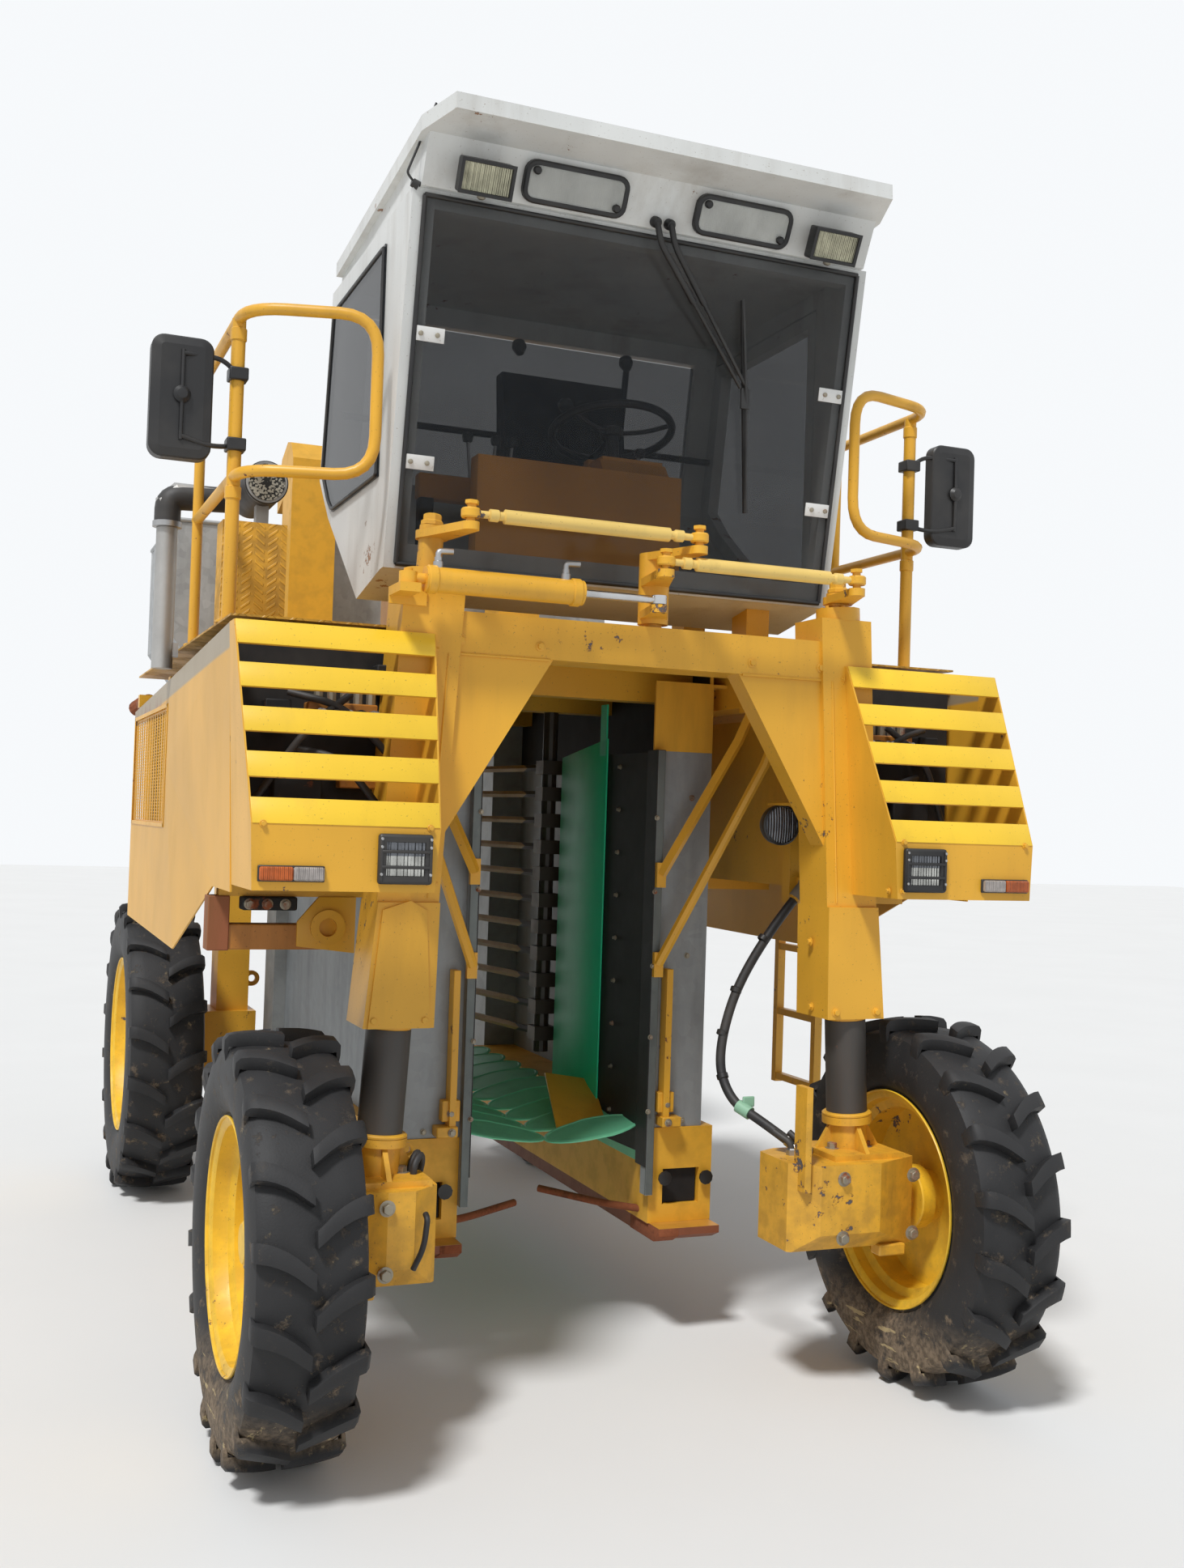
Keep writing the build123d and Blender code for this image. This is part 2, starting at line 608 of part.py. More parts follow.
# Main frame: side rails, cross members and the hoppers' hinge arms
rail = box(RAIL_X0, RAIL_X1, LEG_Y1 + SEAT, WHEELBASE + REAR_LEG_HALF, RAIL_Z0, RAIL_Z1)
hinge_arm = box(PIVOT_X - 30, PIVOT_X + 30, WHEELBASE + REAR_LEG_HALF - 10, PIVOT_Y + 15,
                PIVOT_Z - 60, PIVOT_Z + 4)
hinge_pin = rod((PIVOT_X - 90, PIVOT_Y, PIVOT_Z), (PIVOT_X + 90, PIVOT_Y, PIVOT_Z), PIVOT_R)
CROSSES = (
    # y of the middle, half depth
    (FRONT_CROSS_Y, 40), (SHAFT_CROSS_Y, 45), (REAR_CROSS_Y, 50), (WHEELBASE, 60),
)
CROSS_Z0 = RAIL_Z1 - CROSS_H
side = one([rail, hinge_arm, hinge_pin])
crosses = [box(-RAIL_X0 - 10, RAIL_X0 + 10, y - half, y + half, CROSS_Z0, RAIL_Z1)
           for y, half in CROSSES]
save("main_frame", one([side, other_side(side)] + crosses))

# Rear legs: leg, axle box, spindle and tie-down eye
AXLE_BOX_X1 = MOTOR_OUT_X - 70
rear_leg = box(RAIL_X0, REAR_LEG_X1, WHEELBASE - REAR_LEG_HALF, WHEELBASE + REAR_LEG_HALF,
               REAR_LEG_Z0, RAIL_Z0 - SEAT)
axle_box = box(RAIL_X0 - 30, AXLE_BOX_X1, WHEELBASE - REAR_LEG_HALF - 40,
               WHEELBASE + REAR_LEG_HALF + 40, REAR_TYRE_R - 130, REAR_TYRE_R + 150)
rear_spindle = rod((AXLE_BOX_X1 - 20, WHEELBASE, REAR_TYRE_R),
                   (REAR_WHEEL_X + REAR_DISH + 18, WHEELBASE, REAR_TYRE_R), SPINDLE_R)
TIE_EYE_X = RAIL_X0 - 42
TIE_EYE_Y = WHEELBASE + REAR_LEG_HALF - 20
eye = box(TIE_EYE_X, RAIL_X0 + 5, TIE_EYE_Y, TIE_EYE_Y + 20, TIE_EYE_Z - 35, TIE_EYE_Z + 35)
eye = eye + Pos(TIE_EYE_X, TIE_EYE_Y + 10, TIE_EYE_Z) * Rot(90, 0, 0) * Cylinder(35, 20)
eye = eye - rod((TIE_EYE_X, TIE_EYE_Y - 5, TIE_EYE_Z), (TIE_EYE_X, TIE_EYE_Y + 25, TIE_EYE_Z),
                TIE_EYE_R)
rear = one([rear_leg, axle_box, rear_spindle, eye])
save("rear_legs", rear, other_side(rear))

# Hose from the outrigger's elbow down to the right motor box, along straight runs and arcs
HOSE_R = 15
HOSE_POINTS = ((690, 300, 1440), (520, 300, 1240), (425, 292, 960),
               (440, 225, 825), (495, 125, 780), (545, 40, 732))


def hose_radii(points):
    """Arc radius at each inner point: 0.45 of the shorter run over the tangent of half the turn."""
    radii = []
    for before, at, after in zip(points, points[1:], points[2:]):
        a, b = Vector(*at) - Vector(*before), Vector(*after) - Vector(*at)
        turn = math.radians(a.get_angle(b))
        radii.append(0.45 * min(a.length, b.length) / math.tan(turn / 2))
    return radii


radii = hose_radii(HOSE_POINTS)
print("hose radii", [round(r) for r in radii])
route = FilletPolyline(*HOSE_POINTS, radius=radii)
print("hose length", round(route.length))
save("hose_right", sweep(Plane(origin=route @ 0, z_dir=route % 0) * Circle(HOSE_R), path=route))
hose_start = Vector(*HOSE_POINTS[0])
hose_axis = (hose_start - Vector(*HOSE_POINTS[1])).normalized()
elbow_foot = hose_start + hose_axis * SEAT
elbow_end = hose_start + hose_axis * 95
hose_elbow = rod(tuple(elbow_foot), tuple(elbow_end), HOSE_R + 7)

# Outriggers beside the rails: top bar, post and shelf bar in one plane
SHELF_X1 = POD_OUT_LOW - 22


def outrigger(y):
    post_x0 = RAIL_X1 + SEAT
    y1 = y + OUTRIGGER_W
    return one([box(post_x0, OUTRIGGER_X1, y, y1, RAIL_Z0, RAIL_Z0 + 50),
                box(post_x0, post_x0 + 40, y, y1, SHELF_Z, RAIL_Z0 + 25),
                box(post_x0, SHELF_X1, y, y1, SHELF_Z, SHELF_Z + 50)])


elbow_block = box(elbow_end.X - 34, elbow_end.X - 6, elbow_end.Y - 12, OUTRIGGER_YS[0] + 5,
                  elbow_end.Z - 40, elbow_end.Z)
right_arms = [outrigger(y) for y in OUTRIGGER_YS]
left_arms = [other_side(arm) for arm in right_arms]
right_arms[0] = one([right_arms[0], hose_elbow, elbow_block])
save("outriggers", *right_arms, *left_arms)

# Deck
save("deck", box(-DECK_HALF_W, DECK_HALF_W, LEG_Y1 + 20, DECK_REAR_Y, DECK_Z0, DECK_TOP_Z))


# Pods: front sheet, slats, and the two side sheets
def pod_x(z, low, top):
    return low + (top - low) * (z - POD_LOW_Z) / (POD_TOP_Z - POD_LOW_Z)


def pod_side(low, top, back_y, thick):
    corners = [(POD_FRONT_Y, POD_LOW_Z), (POD_FRONT_Y, POD_CREASE_Z), (POD_TOP_Y, POD_TOP_Z),
               (back_y, POD_TOP_Z), (back_y, POD_LOW_Z)]
    return panel([(pod_x(z, low, top), y, z) for y, z in corners], thick)


def pod_band(y0, z0, y1, z1, thick):
    """Sheet across the pod between two heights."""
    return panel([(pod_x(z0, POD_IN_LOW, POD_IN_TOP), y0, z0),
                  (pod_x(z0, POD_OUT_LOW, POD_OUT_TOP), y0, z0),
                  (pod_x(z1, POD_OUT_LOW, POD_OUT_TOP), y1, z1),
                  (pod_x(z1, POD_IN_LOW, POD_IN_TOP), y1, z1)], thick)


slope = Vector(0, POD_TOP_Y - POD_FRONT_Y, POD_TOP_Z - POD_CREASE_Z)
slat_pitch = (slope.length - SLAT_W) / (SLATS - 1)
slope = slope.normalized()
pod = [pod_side(POD_IN_LOW, POD_IN_TOP, LEG_Y0 - SEAT, -SHEET),
       pod_side(POD_OUT_LOW, POD_OUT_TOP, -SEAT, SHEET),
       pod_band(POD_FRONT_Y, POD_LOW_Z, POD_FRONT_Y, POD_CREASE_Z, -SHEET)]
for i in range(SLATS):
    low, high = i * slat_pitch, i * slat_pitch + SLAT_W
    pod.append(pod_band(POD_FRONT_Y + slope.Y * low, POD_CREASE_Z + slope.Z * low,
                        POD_FRONT_Y + slope.Y * high, POD_CREASE_Z + slope.Z * high, -SLAT_T))
save_pair("pod", one(pod))

# Lamps on the pods: square headlamps with a barred frame, and indicators
HEADLAMP_X = 766
HEADLAMP_Z = 1561
HEADLAMP_W = 140
HEADLAMP_H = 126
HEADLAMP_D = 24
INDICATOR_X = 1048
INDICATOR_Z = 1520


def headlamp():
    y1 = POD_FRONT_Y - SEAT
    half_w, half_h = HEADLAMP_W / 2, HEADLAMP_H / 2
    body = box(HEADLAMP_X - half_w, HEADLAMP_X + half_w, y1 - HEADLAMP_D, y1, HEADLAMP_Z - half_h,
               HEADLAMP_Z + half_h)
    for row in (-1, 0, 1):
        z = HEADLAMP_Z + row * 38
        body = body - box(HEADLAMP_X - half_w + 12, HEADLAMP_X + half_w - 12, y1 - HEADLAMP_D - 1,
                          y1 - 10, z - 15, z + 15)
    return body


lamps = []
for shape in (headlamp(), box(INDICATOR_X - 82, INDICATOR_X + 82, POD_FRONT_Y - SEAT - 20,
                              POD_FRONT_Y - SEAT, INDICATOR_Z - 20, INDICATOR_Z + 20)):
    lamps += [shape, other_side(shape)]
save("front_lamps", *lamps)

# Side covers: flat rear sheet with the grille window, folded facets that close on the pod
COVER_CORNERS = {
    # name: x, y, z of the outer face
    "top_front": (COVER_X, 0, POD_TOP_Z),
    "crease": (COVER_X, GRILLE_Y0, 2095),
    "knee": (COVER_X, GRILLE_Y0 - 15, 1807),
    "top_rear": (COVER_X, COVER_Y1, COVER_REAR_Z),
    "low_rear": (COVER_X, COVER_Y1, COVER_TIP_Z + 13),
    "tip": (COVER_X, COVER_TIP_Y, COVER_TIP_Z),
    "corner": (POD_OUT_LOW + 2, COVER_CREASE_Y, POD_LOW_Z - 20),
    "low_front": (POD_OUT_LOW + 2, 0, POD_LOW_Z - 20),
}
FACETS = (
    ("top_front", "crease", "knee"), ("top_front", "knee", "corner"),
    ("top_front", "corner", "low_front"), ("knee", "tip", "corner"),
    ("crease", "top_rear", "low_rear", "tip", "knee"),
)
RIM = ("top_front", "crease", "top_rear", "low_rear", "tip", "corner", "low_front")


def folded_sheet(corners, facets, rim, thick):
    """Sheet of flat facets between named corners, thick along X and closed along its rim."""
    outer = {name: Vector(*corner) for name, corner in corners.items()}
    inner = {name: corner - Vector(thick, 0, 0) for name, corner in outer.items()}
    loops = [[side[name] for name in names] for names in facets for side in (outer, inner)]
    loops += [[outer[a], outer[b], inner[b], inner[a]] for a, b in zip(rim, rim[1:] + rim[:1])]
    return Solid(Shell([Face(Wire.make_polygon(loop)) for loop in loops]))


window = box(COVER_X - 20, COVER_X + 20, GRILLE_Y0, GRILLE_Y1, GRILLE_Z0, GRILLE_Z1)
cover = folded_sheet(COVER_CORNERS, FACETS, RIM, SHEET) - window
save_pair("side_cover", cover)

# Grilles behind the windows: upright bars between two flat rails
GRILLE_X1 = COVER_IN_X - SEAT
bars = [box(GRILLE_X1 - 4, GRILLE_X1, GRILLE_Y0 - 15, GRILLE_Y1 + 15, z, z + 30)
        for z in (GRILLE_Z0 - 20, GRILLE_Z1 - 10)]
bar_pitch = (GRILLE_Y1 - GRILLE_Y0) / GRILLE_BARS
for i in range(GRILLE_BARS):
    y = GRILLE_Y0 + (i + 0.5) * bar_pitch
    bars.append(box(GRILLE_X1 - 4, GRILLE_X1, y - GRILLE_BAR_W / 2, y + GRILLE_BAR_W / 2,
                    GRILLE_Z0 - 20, GRILLE_Z1 + 20))
grille = one(bars)
save("side_grilles", grille, other_side(grille))

# Cab shell, hollow, with its openings and the door's hinge pins
screen_run = Vector(SCREEN_HEAD[0] - SCREEN_FOOT[0], SCREEN_HEAD[1] - SCREEN_FOOT[1])
SHELL_TOP_Z = CAB_TOP_Z + 210
shell_front_y = SCREEN_FOOT[0] + screen_run.X * (SHELL_TOP_Z - SCREEN_FOOT[1]) / screen_run.Y
rear_lean = (CAB_REAR_Y - 958.6) / (SHELL_TOP_Z - CAB_REAR_Z)
cab_line = [SCREEN_FOOT, (shell_front_y, SHELL_TOP_Z),
            (CAB_REAR_Y - rear_lean * (SHELL_TOP_Z - CAB_REAR_Z), SHELL_TOP_Z),
            (CAB_REAR_Y, CAB_REAR_Z), CAB_HEEL, CAB_BELLY, (SCREEN_FOOT[0] + 30, SCREEN_FOOT[1] - 1)]
above = box(-2 * CAB_HALF_W, 2 * CAB_HALF_W, -500, 2 * CAB_REAR_Y, CAB_TOP_Z, SHELL_TOP_Z + 100)
under = box(-2 * CAB_HALF_W, 2 * CAB_HALF_W, -500, 2 * CAB_REAR_Y, 2000, CAB_FLOOR_Z)
shell = prism_x(cab_line, -CAB_HALF_W, CAB_HALF_W)
room = extrude(Plane.YZ.offset(-CAB_HALF_W + CAB_WALL) * inset(cab_line, CAB_WALL),
               amount=2 * (CAB_HALF_W - CAB_WALL))
shell = shell - (room - under) - above
shell = shell - prism_x(SIDE_WINDOW, -CAB_HALF_W - 10, -CAB_HALF_W + CAB_WALL + 10)
shell = shell - prism_x(DOOR_LINE, CAB_HALF_W - CAB_WALL - 10, CAB_HALF_W + 10)
post_x = CAB_HALF_W - POST_W
shell = shell - box(-post_x, post_x, -200, SCREEN_FOOT[0] + CAB_WALL, CAB_FLOOR_Z + 10,
                    CAB_TOP_Z - 50)
shell = shell - prism_y(REAR_WINDOW, CAB_REAR_Y - 200, CAB_REAR_Y + 100)
for z in HINGE_ZS:
    shell = shell + box(CAB_HALF_W - 4, HINGE_X + 8, HINGE_Y - 24, HINGE_Y + 4, z - 24, z - 1)
    shell = shell + rod((HINGE_X, HINGE_Y, z - 10), (HINGE_X, HINGE_Y, z + HINGE_H + 2), HINGE_R)
save("cab_shell", shell)


def cab_foot(y0, y1, slope_a, slope_b):
    """Pair of brackets from the deck to the cab's sloping underside."""
    (ya, za), (yb, zb) = slope_a, slope_b
    tops = [za + (zb - za) * (y - ya) / (yb - ya) - SEAT for y in (y0, y1)]
    line = [(y0, DECK_TOP_Z + SEAT), (y1, DECK_TOP_Z + SEAT), (y1, tops[1]), (y0, tops[0])]
    bracket = prism_x(line, RAIL_X0 - 80, RAIL_X0)
    return [bracket, other_side(bracket)]


front_belly = cab_line[-1]
save("cab_mounts", *cab_foot(280, 380, front_belly, CAB_BELLY),
     *cab_foot(740, 840, CAB_BELLY, CAB_HEEL))

# Cab glass: windscreen and left pane, lapped over their openings
lean = screen_run.normalized()
out = Vector(-lean.Y, lean.X)


def screen_point(t, d):
    """Point at share t up the windscreen line and d ahead of it, as (y, z)."""
    return (SCREEN_FOOT[0] + screen_run.X * t + out.X * d,
            SCREEN_FOOT[1] + screen_run.Y * t + out.Y * d)


screen = prism_x([screen_point(0.01, SEAT), screen_point(0.985, SEAT),
                  screen_point(0.985, SEAT + GLASS_T), screen_point(0.01, SEAT + GLASS_T)],
                 -SCREEN_HALF_W, SCREEN_HALF_W)
pane_plane = Plane.YZ.offset(-CAB_HALF_W - SEAT - GLASS_T)
left_pane = extrude(pane_plane * inset(SIDE_WINDOW, -PANE_LAP), amount=GLASS_T)
save("cab_glass", screen, left_pane)

# Roof: thin sloping top with chamfered front corners over a raked fascia
roof_slope = (ROOF_REAR_Z - ROOF_FRONT_Z) / (ROOF_REAR_Y - ROOF_FRONT_Y)


def roof_z(y):
    return ROOF_FRONT_Z + roof_slope * (y - ROOF_FRONT_Y)


ROOF_PLAN = (
    # x, y of half the outline, from the front middle round to the rear
    (CAB_HALF_W - ROOF_CHAMFER_X, ROOF_FRONT_Y), (CAB_HALF_W, ROOF_FRONT_Y + ROOF_CHAMFER_Y),
    (CAB_HALF_W, ROOF_REAR_Y),
)
plan = list(ROOF_PLAN) + [(-x, y) for x, y in reversed(ROOF_PLAN)]
roof_top = panel([(x, y, roof_z(y)) for x, y in plan], ROOF_T)
if roof_top.bounding_box().max.Z > ROOF_FRONT_Z + 1:
    roof_top = panel([(x, y, roof_z(y)) for x, y in plan], -ROOF_T)
roof_low_z = CAB_TOP_Z + SEAT
fascia_foot_y = SCREEN_HEAD[0] - 15
fascia_head_y = fascia_foot_y - FASCIA_RAKE
fascia_head_z = roof_z(fascia_head_y) - ROOF_T / 2
fascia_line = [(fascia_foot_y, roof_low_z), (fascia_head_y, fascia_head_z),
               (ROOF_REAR_Y - 10, roof_z(ROOF_REAR_Y) - ROOF_T / 2), (ROOF_REAR_Y + 10, roof_low_z)]
fascia = prism_x(fascia_line, -FASCIA_HALF_W, FASCIA_HALF_W)
save("cab_roof", one([fascia, roof_top]))

# Fittings on the fascia: two work lamps, two vents and the wiper pivots
fascia_up = Vector(0, fascia_head_y - fascia_foot_y, fascia_head_z - roof_low_z).normalized()
fascia_out = Vector(0, -fascia_up.Z, fascia_up.Y)


def fascia_plane(x, up, ahead):
    """Plane on the fascia at x and a height along its slope, standing off by ahead."""
    origin = Vector(x, fascia_foot_y, roof_low_z) + fascia_up * up + fascia_out * ahead
    return Plane(origin=origin, x_dir=(1, 0, 0), z_dir=fascia_out)


def rounded_slab(w, h, t, r):
    return extrude(RectangleRounded(w, h, r), amount=t)


VENT_X = 264
VENT_UP = 66
vents = [fascia_plane(x, VENT_UP, SEAT) * (rounded_slab(316, 116, 18, 34)
                                           - Pos(0, 0, 10) * rounded_slab(286, 88, 10, 22))
         for x in (-VENT_X, VENT_X)]
save("cab_vents", *vents)
ROOF_LAMP_X = 544
roof_lamps = []
for x in (-ROOF_LAMP_X, ROOF_LAMP_X):
    foot = extrude(fascia_plane(x, 52, SEAT) * Rectangle(20, 20), amount=32)
    head = fascia_plane(x, 52, SEAT + 30) * (extrude(Rectangle(164, 104), amount=60, taper=-4)
                                             - Pos(0, 0, 54) * extrude(Rectangle(148, 88), amount=20))
    roof_lamps.append(one([foot, head]))
save("roof_lamps", *roof_lamps)


def on_screen(x, z, ahead):
    """Point on the windscreen's outer face at height z, standing off by ahead."""
    t = (z - SCREEN_FOOT[1]) / screen_run.Y
    y, height = screen_point(t, SEAT + GLASS_T + ahead)
    return (x, y, height)


WIPER_X = 15
WIPER_UP = 20
pivot = fascia_plane(WIPER_X, WIPER_UP, SEAT)
wiper_root = pivot.origin + fascia_out * 26
wiper = [extrude(pivot * Circle(14), amount=40),
         bar(tuple(wiper_root), on_screen(330, 2960, 32), 7, 4),
         bar(on_screen(300, 3240, 32), on_screen(385, 2630, 32), 8, 4)]
wiper[2] = wiper[2] + bar(on_screen(300, 3240, 14), on_screen(385, 2630, 14), 12, 4)
wiper = wiper + [bar(on_screen(340, 2952, 10), on_screen(334, 2952, 34), 8, 4)]
save("wipers", one(wiper))

# Clips that hold the windscreen on the posts
CLIP_ZS = (3010, 2665)
clips = [extrude(Plane(origin=on_screen(x, z, SEAT), x_dir=(1, 0, 0), z_dir=(0, out.X, out.Y))
                 * Rectangle(90, 44), amount=4)
         for x in (-SCREEN_HALF_W + 46, SCREEN_HALF_W - 46) for z in CLIP_ZS]
save("screen_clips", *clips)

# Door on the right side, with ears that turn on the shell's pins
door_plane = Plane.YZ.offset(CAB_HALF_W - CAB_WALL)
door = extrude(door_plane * inset(DOOR_LINE, DOOR_GAP), amount=CAB_WALL)
door = door - extrude(door_plane * inset(DOOR_LINE, DOOR_FRAME_W), amount=CAB_WALL)
ear_y0 = DOOR_LINE[0][0] + DOOR_GAP + 1
for z in HINGE_ZS:
    door = door + box(CAB_HALF_W - 4, HINGE_X, ear_y0, ear_y0 + 30, z, z + HINGE_H)
    door = door + box(CAB_HALF_W + 2, HINGE_X, HINGE_Y, ear_y0 + 10, z, z + HINGE_H)
    door = door + Pos(HINGE_X, HINGE_Y, z + HINGE_H / 2) * Cylinder(12, HINGE_H)
    door = door - rod((HINGE_X, HINGE_Y, z - 5), (HINGE_X, HINGE_Y, z + HINGE_H + 5),
                      HINGE_R + RUN_FIT)
save("door_frame", door)
save("door_glass", extrude(Plane.YZ.offset(CAB_HALF_W + SEAT) * inset(DOOR_LINE, DOOR_FRAME_W - PANE_LAP),
                           amount=GLASS_T))

# Seat, console and steering wheel
floor_z = CAB_FLOOR_Z + SEAT
save("seat", one([box(SEAT_X - 140, SEAT_X + 140, 440, 590, floor_z, 2690),
                  box(SEAT_X - 230, SEAT_X + 230, 500, 850, 2680, DASH_Z),
                  prism_x([(815, DASH_Z - 10), (900, DASH_Z - 10), (945, 3180), (880, 3180)],
                          SEAT_X - 220, SEAT_X + 220)]))
console = one([box(-430, 230, 262, 330, floor_z, 2740),
               prism_x([(262, 2730), (330, 2730), (390, DASH_Z - 10), (300, DASH_Z - 10)], -30, 190),
               box(-20, 180, 300, 430, DASH_Z - 20, DASH_Z)])
save("console", console)
wheel_plane = Plane(origin=WHEEL_CENTRE, z_dir=(0, 0.24, 0.97))
t = HAND_WHEEL_T
ring = faceted_ring([(-t, HAND_WHEEL_R - t / 2), (-t, HAND_WHEEL_R + t / 2), (0, HAND_WHEEL_R + t),
                     (t, HAND_WHEEL_R + t / 2), (t, HAND_WHEEL_R - t / 2), (0, HAND_WHEEL_R - t)])
hand_wheel = [wheel_plane * Rot(0, 90, 0) * ring,
              wheel_plane * extrude(RegularPolygon(36, 8), amount=12, both=True)]
for turn in (90, 210, 330):
    a = math.radians(turn)
    spoke = Pos(95 * math.cos(a), 95 * math.sin(a), 0) * Rot(0, 0, turn) * Box(190, 22, 9)
    hand_wheel.append(wheel_plane * spoke)
foot_len = (WHEEL_CENTRE[2] - DASH_Z - SEAT - 18 * wheel_plane.z_dir.Y) / wheel_plane.z_dir.Z
column_foot = wheel_plane.origin - wheel_plane.z_dir * foot_len
hand_wheel.append(bar(tuple(column_foot), WHEEL_CENTRE, 18))
save("steering_wheel", one(hand_wheel))

# Picking head: upper frame, side sheets with edge strips, base boxes with skid shoes
HANGER_W = 10
head_frame = one([
    box(HEAD_X - HANGER_W, HEAD_X, HEAD_Y0, HEAD_Y1, HEAD_TOP_Z + SEAT, RAIL_Z1),
    box(HEAD_X - HANGER_W, RAIL_X0 - SEAT, HEAD_Y0, HEAD_Y1, RAIL_Z1 - 60, RAIL_Z1 - 50),
    box(TUNNEL_X - 20, HEAD_X, HEAD_Y0 - 5, HEAD_Y0 + 5, HEAD_TOP_Z + SEAT, RAIL_Z1 - 50),
])
for y, half in CROSSES[:3]:
    head_frame = head_frame - box(TUNNEL_X - 30, RAIL_X0 + 30, y - half - SEAT, y + half + SEAT,
                                  CROSS_Z0 - SEAT, RAIL_Z1 + 1)
save("head_frame", head_frame, other_side(head_frame))
sheets = one([
    box(HEAD_X - 4, HEAD_X, HEAD_Y0, HEAD_Y1, HEAD_LOW_Z, HEAD_TOP_Z),
    box(TUNNEL_X, HEAD_X, HEAD_Y0 - 4, HEAD_Y0 + 4, HEAD_LOW_Z, HEAD_TOP_Z),
    box(TUNNEL_X - 20, TUNNEL_X + 4, HEAD_Y0 - 40, HEAD_Y0 + 4, EDGE_LOW_Z, HEAD_TOP_Z),
])
save("head_sheets", sheets, other_side(sheets))
BASE_X0 = TUNNEL_X + 4 + SEAT
BASE_WALL = 10
base = box(BASE_X0, BASE_OUT_X, HEAD_Y0 - 10, HEAD_Y1, BASE_Z0, HEAD_LOW_Z - SEAT)
base = base - box(BASE_X0 + 30, BASE_OUT_X - BASE_WALL, HEAD_Y0 + 20, HEAD_Y1 + 10,
                  BASE_Z0 + BASE_WALL, HEAD_LOW_Z - 20)
base = base - box(BASE_X0 + 50, BASE_OUT_X - 45, HEAD_Y0 - 20, HEAD_Y0 + 30, BASE_Z0 + 60,
                  BASE_Z0 + 175)
skid = prism_x([(HEAD_Y0 - 90, BASE_Z0 + 2), (HEAD_Y0 - 90, BASE_Z0 - 22), (HEAD_Y0 - 40, SKID_Z0),
                (HEAD_Y1 - 40, SKID_Z0), (HEAD_Y1, BASE_Z0 + 2)], BASE_X0 + 6, BASE_OUT_X - 5)
base = one([base, skid])
save("head_base", base, other_side(base))


def shaker_bank():
    """Bank of rods clamped to an upright shaft, trailing inwards, for the right side."""
    pieces = [bar((SHAFT_X, SHAFT_CROSS_Y, SHAFT_LOW_Z), (SHAFT_X, SHAFT_CROSS_Y, CROSS_Z0 - SEAT),
                  SHAFT_R, 12)]
    for i in range(SHAKER_RODS):
        z = SHAKER_Z0 + i * SHAKER_PITCH
        pieces.append(bar((SHAFT_X, SHAFT_CROSS_Y, z), (SHAKER_TIP_X, SHAKER_TIP_Y, z), SHAKER_R, 6))
        pieces.append(box(SHAFT_X - CLAMP_HALF, SHAFT_X + CLAMP_HALF, SHAFT_CROSS_Y - CLAMP_HALF,
                          SHAFT_CROSS_Y + CLAMP_HALF, z - CLAMP_H / 2, z + CLAMP_H / 2))
    return pieces[0].fuse(*pieces[1:])


save_pair("shaker", shaker_bank())

# Catching scales across the tunnel floor, and the guide liners that hang before the shakers
SCALE_L = 300
SCALE_W = 150
LINER_Y0 = FRONT_CROSS_Y - 20
LINER_Y1 = SHAFT_CROSS_Y - 140
scale_line = [(SCALE_L / 2, -SCALE_W / 2), (SCALE_L / 2, SCALE_W / 2), (-SCALE_L / 2, SCALE_W / 2),
              (-SCALE_L / 2 - 55, SCALE_W / 4), (-SCALE_L / 2 - 75, 0),
              (-SCALE_L / 2 - 55, -SCALE_W / 4), (-SCALE_L / 2, -SCALE_W / 2)]
scales = [box(TUNNEL_X - 8, TUNNEL_X + 4, HEAD_Y0 + 20, HEAD_Y1, 560, 640)]
for i in range(SCALES):
    y = HEAD_Y0 + 95 + i * SCALE_PITCH
    scales.append(Pos(165, y, 640) * Rot(0, 12, 6) * prism_z(scale_line, 0, 6))
plates = one(scales)
liner = one([prism_x([(LINER_Y0, 760), (LINER_Y1, 720), (LINER_Y1, HEAD_TOP_Z),
                      (LINER_Y0, HEAD_TOP_Z)], SHAFT_X - 3, SHAFT_X + 3),
             box(SHAFT_X - 3, SHAFT_X + 3, FRONT_CROSS_Y - 20, FRONT_CROSS_Y + 35, HEAD_TOP_Z - 5,
                 CROSS_Z0 - SEAT)])
save("scale_plates", plates, other_side(plates), liner, other_side(liner))

# Braces from the head's edge strips up to the rails: a bent tube and a flat bar on each side
BRACE_R = 17
STRIP_Y = HEAD_Y0 - 40 - SEAT
PAD_T = 16
BRACES = (
    # section radius, sides, route from the strip's pad to the rail's underside
    (BRACE_R, 8, ((TUNNEL_X - 6, STRIP_Y - 12, 1215), (600, 355, 1871), (RAIL_X1 - 40, 320, RAIL_Z0 - 12))),
    (18, 4, ((TUNNEL_X - 4, STRIP_Y - 12, 1505), (552, 448, 1950), (RAIL_X0 + 32, 438, RAIL_Z0 - 12))),
)
braces = []
for r, sides, path in BRACES:
    (x0, y0, z0), (x1, y1, z1) = path[0], path[-1]
    arm = mitred_tube(path, r, sides)
    arm = arm - box(x0 - 90, x0 + 90, STRIP_Y, STRIP_Y + 80, z0 - 90, z0 + 90)
    arm = arm - box(x1 - 90, x1 + 90, y1 - 90, y1 + 90, RAIL_Z0 - SEAT, RAIL_Z0 + 80)
    foot = box(TUNNEL_X - 20, TUNNEL_X + 12, STRIP_Y - PAD_T, STRIP_Y, z0 - 40, z0 + 40)
    head = box(x1 - 30, x1 + 30, y1 - 30, y1 + 30, RAIL_Z0 - SEAT - PAD_T, RAIL_Z0 - SEAT)
    braces.append(one([arm, foot, head]))
save("head_braces", *braces, *[other_side(brace) for brace in braces])

